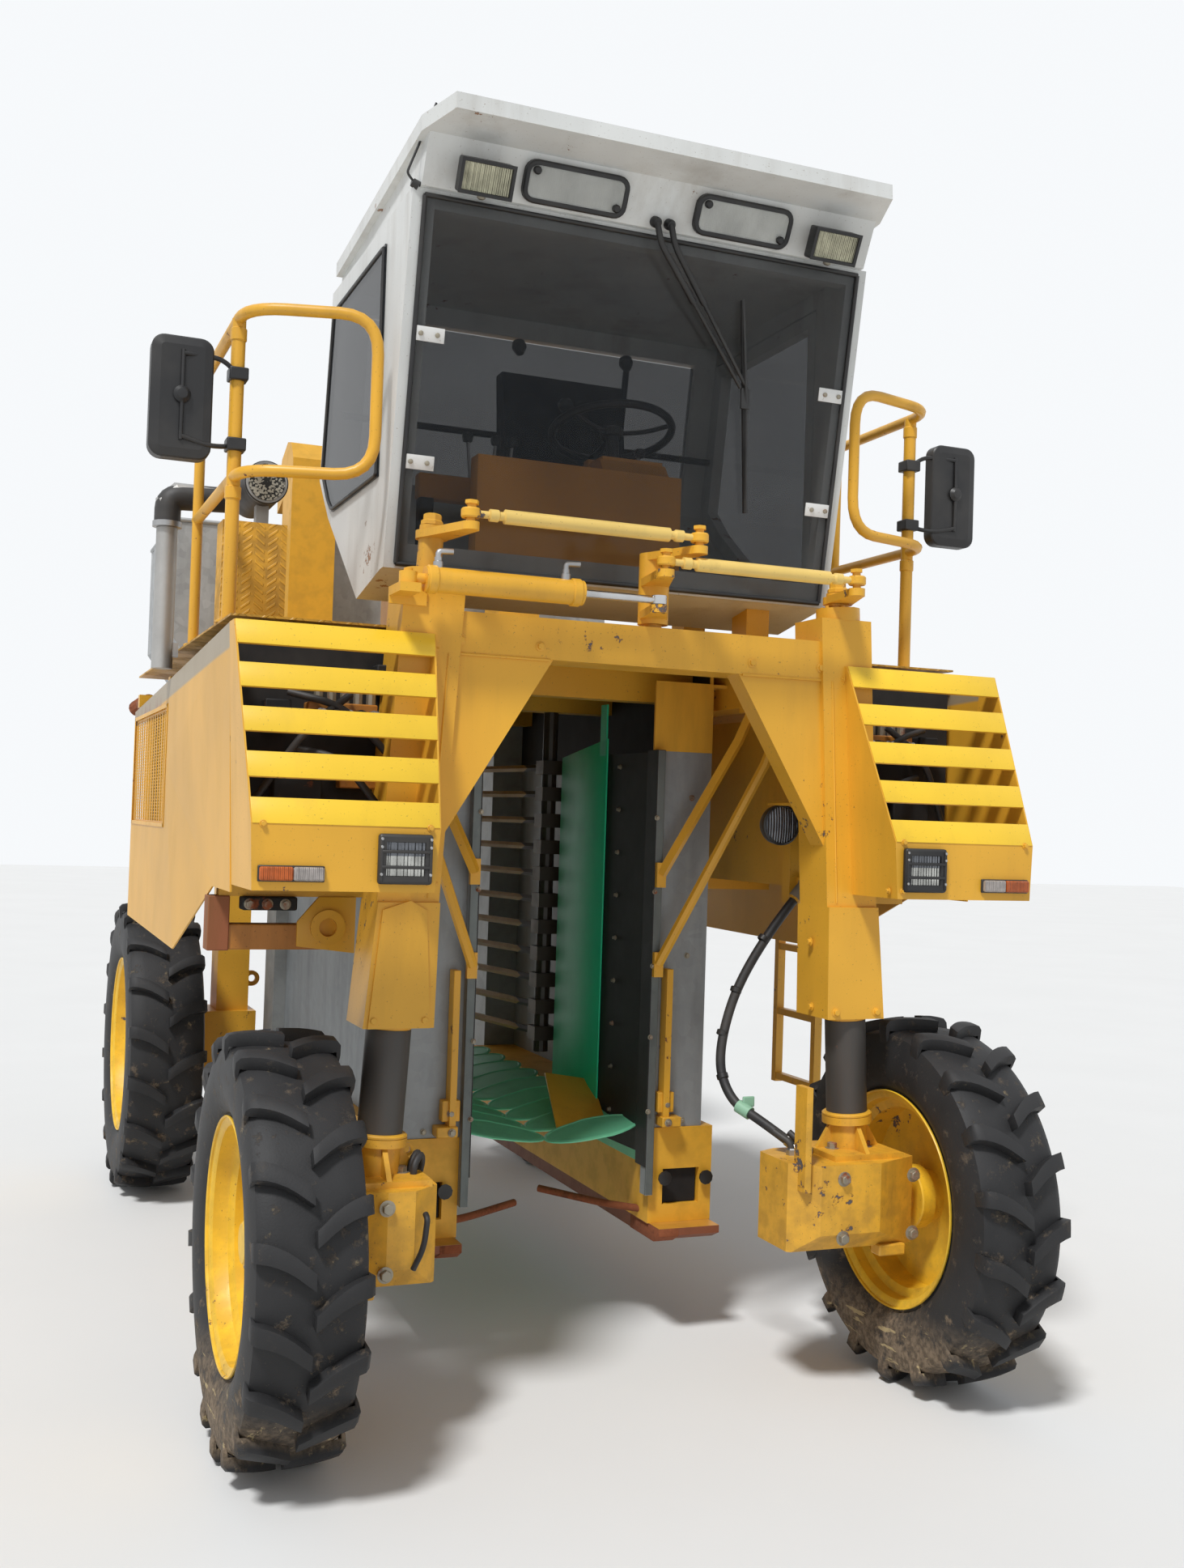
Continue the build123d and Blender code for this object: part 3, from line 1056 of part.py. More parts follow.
# Work lamps behind the legs
WORK_LAMP_X = 618
WORK_LAMP_Z = 1680
WORK_LAMP_R = 65
lamp_body = bar((WORK_LAMP_X, 262, WORK_LAMP_Z), (WORK_LAMP_X, 334, WORK_LAMP_Z), WORK_LAMP_R, 16)
lamp_arm = box(WORK_LAMP_X - 25, WORK_LAMP_X + 25, LEG_Y1 + SEAT, 315, WORK_LAMP_Z + 60,
               WORK_LAMP_Z + 70)
lamp_pad = box(WORK_LAMP_X - 25, WORK_LAMP_X + 25, LEG_Y1 + SEAT, LEG_Y1 + 10, WORK_LAMP_Z + 10,
               WORK_LAMP_Z + 70)
work_lamp = one([lamp_body, lamp_arm, lamp_pad])
save("work_lamps", work_lamp, other_side(work_lamp))

# Elevators behind the picking head, with rounded heads whose spouts end over the hoppers
tower_y0 = HEAD_Y1 + SEAT
tower_y1 = tower_y0 + TOWER_D
SPOUT_Y = HOPPER_Y0 + 42
SPOUT_Z = HOPPER_Z1 + 76
tower = prism_x([(tower_y0, 400), (tower_y1, 400), (tower_y1, SPOUT_Z + 40), (SPOUT_Y, SPOUT_Z),
                 (SPOUT_Y, SPOUT_Z + 95), (SPOUT_Y - 70, TOWER_TOP_Z - 50),
                 (tower_y1 - 70, TOWER_TOP_Z), (tower_y0 + 60, TOWER_TOP_Z - 15),
                 (tower_y0, TOWER_TOP_Z - 90)], TOWER_X0, RAIL_X0 - SEAT)
save("elevators", tower, other_side(tower))

# Hoppers above the rear wheels, open at the top
TUB = (
    # x, z of half a turn round the outline, from the inner top edge
    (HOPPER_X0, HOPPER_Z1), (HOPPER_X0, HOPPER_Z0 + 180), (HOPPER_X0 + 200, HOPPER_Z0),
    (HOPPER_X1 - 120, HOPPER_Z0), (HOPPER_X1, HOPPER_Z0 + 160), (HOPPER_X1, HOPPER_Z1),
)
hollow = extrude(Plane.XZ.offset(-HOPPER_Y1 + HOPPER_T) * inset(TUB, HOPPER_T),
                 amount=HOPPER_Y1 - HOPPER_Y0 - 2 * HOPPER_T)
mouth = box(HOPPER_X0 + HOPPER_T, HOPPER_X1 - HOPPER_T, HOPPER_Y0 + HOPPER_T, HOPPER_Y1 - HOPPER_T,
            HOPPER_Z1 - 2 * HOPPER_T, HOPPER_Z1 + 1)
tub = prism_y(TUB, HOPPER_Y0, HOPPER_Y1) - hollow - mouth
ear = [(PIVOT_Y - 30, HOPPER_Z0 + 2), (PIVOT_Y - 18, PIVOT_Z - 18), (PIVOT_Y + 18, PIVOT_Z - 18),
       (PIVOT_Y + 30, HOPPER_Z0 + 2)]
for x in (PIVOT_X - 70, PIVOT_X + 70):
    tub = tub + prism_x(ear, x - 8, x + 8)
tub = tub - rod((PIVOT_X - 130, PIVOT_Y, PIVOT_Z), (PIVOT_X + 130, PIVOT_Y, PIVOT_Z),
                PIVOT_R + RUN_FIT)
save_pair("hopper", tub)

# Engine on the left and tank on the right, on the outriggers' shelf bars
BLOCK_X0 = RAIL_X1 + 55
BLOCK_Y0 = OUTRIGGER_YS[0] + 15
BLOCK_Y1 = OUTRIGGER_YS[1] + OUTRIGGER_W - 15
BLOCK_Z0 = SHELF_Z + 50 + SEAT
block = box(BLOCK_X0, SHELF_X1 - 30, BLOCK_Y0, BLOCK_Y1, BLOCK_Z0, RAIL_Z0 - 20)
save("engine", other_side(block))
save("tank", block)

# Exhaust behind the engine, on the last outrigger of the left side
EXHAUST_R = 32
exhaust_y0 = OUTRIGGER_YS[2] + OUTRIGGER_W + SEAT
exhaust_x = -OUTRIGGER_X1 + 40
exhaust_z = RAIL_Z0 + 25
exhaust = rod((exhaust_x, exhaust_y0, exhaust_z), (exhaust_x, exhaust_y0 + 180, exhaust_z), EXHAUST_R)
exhaust = exhaust + bar((exhaust_x, exhaust_y0 + 165, exhaust_z + 5),
                        (exhaust_x - 25, exhaust_y0 + 225, exhaust_z - 15), EXHAUST_R, 12)
save("exhaust", exhaust)

# Air intake on the left: pipe beside the deck, elbow and round canister on its stand
INTAKE_X = -DECK_HALF_W - 50
INTAKE_Y = 1205
PIPE_R = 34
CANISTER = (-940, 850, 2710)
CANISTER_R = 65
CANISTER_L = 300
ELBOW_Z = 2640
pipe = rod((INTAKE_X, INTAKE_Y, RAIL_Z0 + 70), (INTAKE_X, INTAKE_Y, ELBOW_Z), PIPE_R)
tie = box(INTAKE_X, -DECK_HALF_W - SEAT, INTAKE_Y - 15, INTAKE_Y + 15, DECK_Z0 - 20, DECK_TOP_Z + 20)
canister_end = (CANISTER[0], CANISTER[1] + CANISTER_L, CANISTER[2])
elbow = mitred_tube([(INTAKE_X, INTAKE_Y, ELBOW_Z - 20), (INTAKE_X, INTAKE_Y, ELBOW_Z + 35),
                     (INTAKE_X + 35, INTAKE_Y, CANISTER[2]), (CANISTER[0] - 55, INTAKE_Y, CANISTER[2]),
                     (CANISTER[0], INTAKE_Y - 25, CANISTER[2]),
                     (CANISTER[0], CANISTER[1] + CANISTER_L - 10, CANISTER[2])], PIPE_R + 6)
stand = box(CANISTER[0] - 20, CANISTER[0] + 20, CANISTER[1] + 60, CANISTER[1] + 100,
            DECK_TOP_Z + SEAT, CANISTER[2] - CANISTER_R + 10)
save("air_intake", one([pipe, tie, elbow, rod(CANISTER, canister_end, CANISTER_R), stand]))
save("step_box", box(-1095, -900, 690, 800, DECK_TOP_Z + SEAT, 2550))

# Ladder at the right side
LADDER_X = COVER_X + SEAT
STILE_W = 30
ladder = [box(LADDER_X, LADDER_X + STILE_W, y, y + STILE_W, LADDER_Z0, DECK_Z0 - 40)
          for y in (LADDER_Y0, LADDER_Y1 - STILE_W)]
for i in range(RUNGS):
    z = LADDER_Z0 + 10 + i * RUNG_PITCH
    ladder.append(box(LADDER_X + 2, LADDER_X + STILE_W - 2, LADDER_Y0 + 20, LADDER_Y1 - 20, z, z + 25))
save("ladder", one(ladder))

# Handrails with the mirrors' arms, and the mirrors on them
HANDRAIL_X = DECK_HALF_W - 30
MIRROR_X0 = HANDRAIL_X + 70
MIRROR_W = 170
MIRROR_Z0 = 2640
MIRROR_Z1 = 2980
MIRROR_T = 40
MAST_Y = 360


def handrail(end_y):
    """Right handrail: bent loop, front mast, rear post and the mirror's two arms."""
    x = HANDRAIL_X
    front_y = HANDRAIL_FRONT_Y
    loop = [(x, end_y, HANDRAIL_TOP_Z), (x, front_y + 100, HANDRAIL_TOP_Z),
            (HANDRAIL_IN_X, front_y, HANDRAIL_TOP_Z), (HANDRAIL_IN_X, front_y, HANDRAIL_MID_Z),
            (x, front_y + 100, HANDRAIL_MID_Z), (x, end_y, HANDRAIL_MID_Z)]
    pieces = [mitred_tube(rounded(loop, 80), HANDRAIL_R),
              bar((x, MAST_Y, DECK_TOP_Z + SEAT), (x, MAST_Y, HANDRAIL_TOP_Z), HANDRAIL_R + 3),
              bar((x, end_y - 20, DECK_TOP_Z + SEAT), (x, end_y - 20, HANDRAIL_TOP_Z), HANDRAIL_R)]
    for z in (MIRROR_Z0 + 50, MIRROR_Z1 - 60):
        pieces.append(box(x, MIRROR_X0 - SEAT, MAST_Y - 18, MAST_Y - 6, z, z + 12))
    return one(pieces)


save("handrail_left", other_side(handrail(HANDRAIL_END_LEFT)))
save("handrail_right", handrail(HANDRAIL_END_RIGHT))
mirror_shell = Pos(MIRROR_X0 + MIRROR_W / 2, MAST_Y - 12, (MIRROR_Z0 + MIRROR_Z1) / 2) * Rot(90, 0, 0)
mirror_shell = mirror_shell * extrude(RectangleRounded(MIRROR_W, MIRROR_Z1 - MIRROR_Z0, 36),
                                      amount=MIRROR_T / 2, both=True)
save("mirrors", mirror_shell, other_side(mirror_shell))
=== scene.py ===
import math
from collections import namedtuple
from contextlib import contextmanager

import bmesh
import bpy
from bpy.props import FloatProperty, FloatVectorProperty, IntProperty, PointerProperty
from mathutils import Matrix, Vector


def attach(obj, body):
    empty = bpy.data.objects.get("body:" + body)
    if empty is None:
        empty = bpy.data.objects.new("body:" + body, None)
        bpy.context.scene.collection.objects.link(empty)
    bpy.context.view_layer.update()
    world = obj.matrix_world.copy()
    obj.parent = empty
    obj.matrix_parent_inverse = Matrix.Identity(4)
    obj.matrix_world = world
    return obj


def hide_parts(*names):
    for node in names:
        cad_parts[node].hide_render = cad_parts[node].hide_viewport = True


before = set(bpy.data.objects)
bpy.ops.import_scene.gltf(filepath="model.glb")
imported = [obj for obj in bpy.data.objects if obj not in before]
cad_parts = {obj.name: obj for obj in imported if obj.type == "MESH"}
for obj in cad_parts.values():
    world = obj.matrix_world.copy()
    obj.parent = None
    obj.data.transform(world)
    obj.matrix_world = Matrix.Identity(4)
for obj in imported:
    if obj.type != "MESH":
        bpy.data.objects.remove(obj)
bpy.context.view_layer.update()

bl_info = {
    "name": "Grape Harvester",
    "version": (1, 0, 0),
    "blender": (4, 5, 0),
    "location": "View3D > Sidebar > Harvester",
    "description": "Fine pieces and finishes of a straddle grape harvester, and its stage",
    "category": "Object",
}

# Camera
CAMERA_AT = Vector((-1.80277, -5.67924, 1.66732))
YAW, PITCH, ROLL = math.radians(22.08719), math.radians(-1.42440), math.radians(1.85994)
LENS_MM, SENSOR_MM = 35.78, 36

# Places below are in millimetres with the front axle at y = 0, and go through at()
FRONT_AXLE_Y = -1.5875
# Half width of the cab inside its side panes, in metres as the materials read it
PANE_HALF_W = 0.705
WHEELBASE = 3100
# Front edge of the picking head's side sheets, in metres as the materials read it
HEAD_FRONT_Y = 0.56 + FRONT_AXLE_Y
SIDES = ((1, "right"), (-1, "left"))
UP, OUTWARD = Vector((0, 0, 1)), Vector((1, 0, 0))
REARWARD, FORWARD = Vector((0, 1, 0)), Vector((0, -1, 0))
Wheel = namedtuple("Wheel", "name tyre_r tyre_width rim_r rim_width dish x y")
WHEELS = (Wheel("front", 550, 285, 327, 250, 40, 1000, 0),
          Wheel("rear", 625, 315, 377, 280, 60, 965, WHEELBASE))
# The leaning kingpin line: x and z low and high on it; its steering levers; the cap's height
KING_LOW, KING_HIGH = (725, 800), (640, 2400)
KING_TOP = {"left": 2446, "right": 2372}
KING_CAP_Z = 2338
# Front face of both pods
POD_FACE_Y = -305.4


def at(x, y, z):
    return Vector((x / 1000, y / 1000 + FRONT_AXLE_Y, z / 1000))


def run(x, y, z):
    """A direction or an offset, in millimetres."""
    return Vector((x, y, z)) / 1000


def king_x(z):
    """X of the right kingpin line at height z."""
    (low_x, low_z), (high_x, high_z) = KING_LOW, KING_HIGH
    return low_x + (high_x - low_x) * (z - low_z) / (high_z - low_z)


def king_lean(sign):
    """Direction of a kingpin, upwards."""
    return Vector((sign * -0.053, 0, 1)).normalized()


# Raked fascia over the windscreen: its foot and head, the way up it and the way out of it
FASCIA_FOOT, FASCIA_HEAD = at(0, 1.4, 3390.3), at(0, -73.6, 3535)
FASCIA_RISE = (FASCIA_HEAD - FASCIA_FOOT).normalized()
FASCIA_OUT = Vector((0, -FASCIA_RISE.z, FASCIA_RISE.y))

# Settings that a user may change


def colour(name, value, description):
    return FloatVectorProperty(name=name, description=description, default=value,
                               subtype="COLOR", size=3, min=0, max=1)


class HarvesterColours(bpy.types.PropertyGroup):
    body: colour("Body paint", (0.80, 0.42, 0.035), "Golden yellow of the frame and covers")
    slat: colour("Slat paint", (0.93, 0.60, 0.035), "Brighter yellow of the newer slats")
    rod: colour("Rod paint", (0.86, 0.60, 0.17), "Pale yellow of the steering rods")
    cab: colour("Cab paint", (0.72, 0.73, 0.71), "White of the cab")
    liner: colour("Liner green", (0.010, 0.62, 0.30), "Deep green of the guide liners")
    scale: colour("Scale green", (0.20, 0.72, 0.42), "Light green of the catching scales")
    rubber: colour("Rubber", (0.017, 0.017, 0.018), "Black of the tyres")
    mud: colour("Mud", (0.11, 0.083, 0.057), "Dried mud on the tyres")
    rust: colour("Rust", (0.15, 0.045, 0.018), "Rust where paint is gone")
    primer: colour("Primer", (0.10, 0.095, 0.10), "Dark primer under the yellow paint")


class HarvesterSizes(bpy.types.PropertyGroup):
    lugs: IntProperty(name="Lugs a side", description="Tread bars on each half of a tyre",
                      default=18, min=8, max=30)
    lug_height: FloatProperty(name="Lug height", description="Height of a tread bar",
                              default=0.034, min=0.01, max=0.06, unit="LENGTH")
    rail_radius: FloatProperty(name="Handrail radius", description="Radius of the handrail tube",
                               default=0.017, min=0.01, max=0.03, unit="LENGTH")
    bolt_width: FloatProperty(name="Bolt width", description="Width of a bolt head across corners",
                              default=0.019, min=0.008, max=0.04, unit="LENGTH")
    mesh_pitch: FloatProperty(name="Mesh pitch", description="Distance between grille wires",
                              default=0.011, min=0.004, max=0.05, unit="LENGTH")
    floor_size: FloatProperty(name="Floor size", description="Side of the square floor",
                              default=80, min=10, max=200, unit="LENGTH")


# Shader values and finishes


class Link:
    """Output of a node; arithmetic on it adds Math nodes to its tree."""

    def __init__(self, nodes, socket):
        self.nodes = nodes
        self.socket = socket

    def reckon(self, operation, a, b=0.0, clamp=False):
        return self.nodes.node("ShaderNodeMath", {"operation": operation, "use_clamp": clamp},
                               {0: a, 1: b})

    def __add__(self, other):
        return self.reckon("ADD", self, other)

    def __sub__(self, other):
        return self.reckon("SUBTRACT", self, other)

    def __rsub__(self, other):
        return self.reckon("SUBTRACT", other, self)

    def __mul__(self, other):
        return self.reckon("MULTIPLY", self, other)

    def __truediv__(self, other):
        return self.reckon("DIVIDE", self, other)

    def __pow__(self, other):
        return self.reckon("POWER", self, other)

    __radd__ = __add__
    __rmul__ = __mul__

    def above(self, edge, soft=0.04):
        """0 below the edge, 1 above it, over a soft band."""
        return self.reckon("ADD", (self - edge) / soft, 0.5, clamp=True)

    def below(self, edge, soft=0.04):
        return 1 - self.above(edge, soft)

    def size(self):
        return self.reckon("ABSOLUTE", self)

    def wave(self):
        return self.reckon("SINE", self)


class Nodes:
    """Emptied node tree of a material or a world, filled by one method."""

    def __init__(self, tree):
        self.tree = tree
        tree.nodes.clear()

    def node(self, kind, settings=None, inputs=None, output=0):
        """The one way a node is made: its type, its settings first, then its sockets."""
        made = self.tree.nodes.new(kind)
        for key, value in (settings or {}).items():
            setattr(made, key, value)
        for key, value in (inputs or {}).items():
            socket = made.inputs[key]
            if isinstance(value, Link):
                self.tree.links.new(value.socket, socket)
            elif socket.type == "RGBA" and len(value) == 3:
                socket.default_value = (*value, 1)
            else:
                socket.default_value = value
        return Link(self, made.outputs[output]) if len(made.outputs) else None


class Finish(Nodes):
    """A procedural material on object coordinates."""

    def __init__(self, name):
        self.material = bpy.data.materials.new(name)
        self.material.use_nodes = True
        super().__init__(self.material.node_tree)

    def coords(self, stretch=(1, 1, 1), centre=(0, 0, 0)):
        place = self.node("ShaderNodeTexCoord", output="Object")
        shift = tuple(-c * s for c, s in zip(centre, stretch))
        return self.node("ShaderNodeMapping", {}, {"Vector": place, "Location": shift,
                                                   "Scale": stretch})

    def axis(self, name, centre=(0, 0, 0)):
        return self.node("ShaderNodeSeparateXYZ", {}, {0: self.coords(centre=centre)}, name)

    def noise(self, scale, detail=4.0, stretch=(1, 1, 1), rough=0.6):
        return self.node("ShaderNodeTexNoise", {}, {"Vector": self.coords(stretch), "Scale": scale,
                                                    "Detail": detail, "Roughness": rough})

    def flakes(self, scale):
        """Grey cells, each of one shade."""
        cells = self.node("ShaderNodeTexVoronoi", {"feature": "F1"},
                          {"Vector": self.coords(), "Scale": scale}, "Color")
        return self.node("ShaderNodeRGBToBW", {}, {0: cells})

    def mix(self, factor, a, b):
        return self.node("ShaderNodeMix", {"data_type": "RGBA"}, {0: factor, 6: a, 7: b}, 2)

    def bump(self, height, depth, strength=1.0):
        return self.node("ShaderNodeBump", {}, {"Height": height, "Distance": depth,
                                                "Strength": strength})

    def surface(self, base, roughness, metallic=0.0, normal=None, **constants):
        inputs = {"Base Color": base, "Roughness": roughness, "Metallic": metallic}
        if normal is not None:
            inputs["Normal"] = normal
        inputs.update({key.replace("_", " "): value for key, value in constants.items()})
        shader = self.node("ShaderNodeBsdfPrincipled", {}, inputs)
        self.node("ShaderNodeOutputMaterial", {}, {"Surface": shader})
        return self.material


def dimmed(shade, share):
    return tuple(channel * share for channel in shade)


def painted(name, shade, dirt=(0.16, 0.09, 0.03), dirt_share=0.5, chips=0.0, under=(0.1, 0.09, 0.1),
            rust=(0.15, 0.045, 0.018), rough=0.4, low_dirt=0.0):
    """Weathered paint: sun-faded patches, run-down dirt, fine specks and chipped spots."""
    f = Finish(name)
    broad = f.noise(1.7, 3.0)
    tone = f.mix(broad.above(0.5, 0.35), dimmed(shade, 1.05), dimmed(shade, 0.86))
    runs = f.noise(7, 6.0, stretch=(1, 1, 0.14), rough=0.65)
    grime = runs.above(0.58, 0.2) * f.noise(2.3, 2.0).above(0.5, 0.3) * dirt_share * 0.8
    if low_dirt:
        grime = grime + f.axis("Z").below(0.75, 0.9) * f.noise(16, 6.0).above(0.5, 0.2) * low_dirt
    specks = f.noise(150, 2.0).above(0.7, 0.03) * 0.5
    base = f.mix(grime, tone, dirt)
    base = f.mix(specks, base, dirt)
    roughness = grime * 0.35 + rough + specks * 0.2
    height = f.noise(420, 2.0) * 0.06
    if chips:
        scratch = f.noise(26, 7.0, rough=0.7) * 0.6 + f.noise(3.1, 2.0) * 0.4
        ring = scratch.above(0.655 - chips * 0.1, 0.012)
        core = scratch.above(0.668 - chips * 0.1, 0.008)
        base = f.mix(ring, base, rust)
        base = f.mix(core, base, under)
        roughness = roughness + core * 0.25
        height = height + (1 - ring) * 0.5
    return f.surface(base, roughness, normal=f.bump(height, 0.0012, 0.5))


def rubbery(name, shade, mud, centre, radius, low=None):
    """Tyre rubber: dusty flanks, mud and straw between the lugs and low on the flank."""
    f = Finish(name)
    y, z = f.axis("Y", centre), f.axis("Z", centre)
    reach = (y * y + z * z) ** 0.5
    dust = f.noise(5, 6.0).above(0.5, 0.3)
    base = f.mix(dust * 0.3, shade, (0.05, 0.049, 0.05))
    clods = f.noise(19, 8.0, rough=0.7)
    between = reach.below(radius - 0.012, 0.02)
    sunk = z.below(-0.12, 0.35)
    wet = clods.above(0.61, 0.1) * between * (sunk * 0.6 + 0.4)
    if low is not None:
        wet = wet + clods.above(0.40, 0.12) * z.below(low, 0.12) * reach.below(radius - 0.03, 0.03)
    wet = wet.reckon("MINIMUM", wet, 1.0)
    soil = f.mix(f.noise(60, 4.0).above(0.5, 0.2), mud, dimmed(mud, 2.1))
    straw = f.noise(44, 3.0, stretch=(1, 0.16, 1)).above(0.64, 0.03) * wet
    base = f.mix(wet, base, soil)
    base = f.mix(straw, base, (0.42, 0.33, 0.18))
    height = clods * wet + f.noise(160, 3.0) * 0.12
    return f.surface(base, wet * 0.3 + 0.55 + dust * 0.1, normal=f.bump(height, 0.006, 0.7),
                     Specular_IOR_Level=0.35)


def metal(name, shade, rough, spangle=0.0, rust_share=0.0, rust=(0.15, 0.045, 0.018),
          metallic=0.9):
    """Bare or coated metal with run-down stains, and spangles or rust if asked."""
    f = Finish(name)
    base = f.mix(f.noise(4, 5.0).above(0.5, 0.4), shade, dimmed(shade, 0.72))
    if spangle:
        base = f.mix(f.flakes(34) * spangle, base, dimmed(shade, 1.35))
    runs = f.noise(9, 6.0, stretch=(1, 1, 0.2))
    stain = runs.above(0.55, 0.2) * 0.35
    base = f.mix(stain, base, dimmed(shade, 0.4))
    roughness = f.noise(12, 3.0) * 0.2 + rough
    amount = metallic
    if rust_share:
        patches = f.noise(11, 8.0, rough=0.7).above(0.68 - rust_share * 0.35, 0.08)
        tint = f.mix(f.noise(70, 4.0), rust, dimmed(rust, 2.4))
        base = f.mix(patches, base, tint)
        roughness = roughness + patches * 0.4
        amount = (1 - patches) * metallic
    return f.surface(base, roughness, amount, f.bump(f.noise(260, 3.0), 0.0008, 0.4))


def moulded(name, shade, rough=0.5, streaks=0.3, grain=0.3):
    """Plastic and coated parts with handling marks and a fine grain."""
    f = Finish(name)
    marks = f.noise(14, 7.0, stretch=(1, 1, 0.5)).above(0.56, 0.18) * streaks
    base = f.mix(marks, shade, dimmed(shade, 0.55))
    dust = f.noise(3, 4.0).above(0.55, 0.3) * streaks
    base = f.mix(dust * 0.5, base, (0.22, 0.2, 0.17))
    return f.surface(base, marks * 0.2 + rough, normal=f.bump(f.noise(600, 2.0), 0.0006, grain))


def ribbed(name, shade, pitch, rough, metallic=0.0):
    """Lamp lens with two rows of moulded ribs."""
    f = Finish(name)
    waves = (f.axis("X") * (2 * math.pi / pitch)).wave()
    cross = (f.axis("X") * (2 * math.pi / (pitch * 1.7))).wave()
    patches = f.noise(22, 3.0)
    base = f.mix(patches.above(0.5, 0.3), shade, dimmed(shade, 0.6))
    return f.surface(base, patches * 0.1 + rough, metallic,
                     f.bump(waves + cross * 0.5, 0.0015, 0.8))


def tinted(name, shade, alpha, rough=0.04, side=0.0):
    """Tinted pane with a thin film of dust; panes at the cab's sides are made darker by side as
    painted shade.
    """
    f = Finish(name)
    # Painted shade: panes beyond the cab's half width are darker
    darker = f.axis("X").size().above(PANE_HALF_W, 0.004) * side
    film = f.noise(2.6, 5.0).above(0.5, 0.5)
    spots = f.noise(120, 2.0).above(0.7, 0.04)
    base = f.mix(film * 0.05 + spots * 0.3, shade, (0.3, 0.3, 0.28))
    return f.surface(base, film * 0.05 + rough, Alpha=film * 0.05 + spots * 0.1 + darker + alpha,
                     Specular_IOR_Level=0.25)


def by_place(name, split, low, high, rough, axis="Z"):
    """Two finishes on one piece, parted where the axis passes the split; axis may be X's size."""
    f = Finish(name)
    value = f.axis("X").size() if axis == "|X|" else f.axis(axis)
    part = value.above(split, 0.002)
    marks = f.noise(13, 7.0).above(0.55, 0.2) * 0.4
    lower = f.mix(marks, low, dimmed(low, 0.6))
    upper = f.mix(marks, high, dimmed(high, 0.6))
    return f.surface(f.mix(part, lower, upper), marks * 0.2 + rough,
                     normal=f.bump(f.noise(300, 3.0), 0.0006, 0.3))


finishes = {}


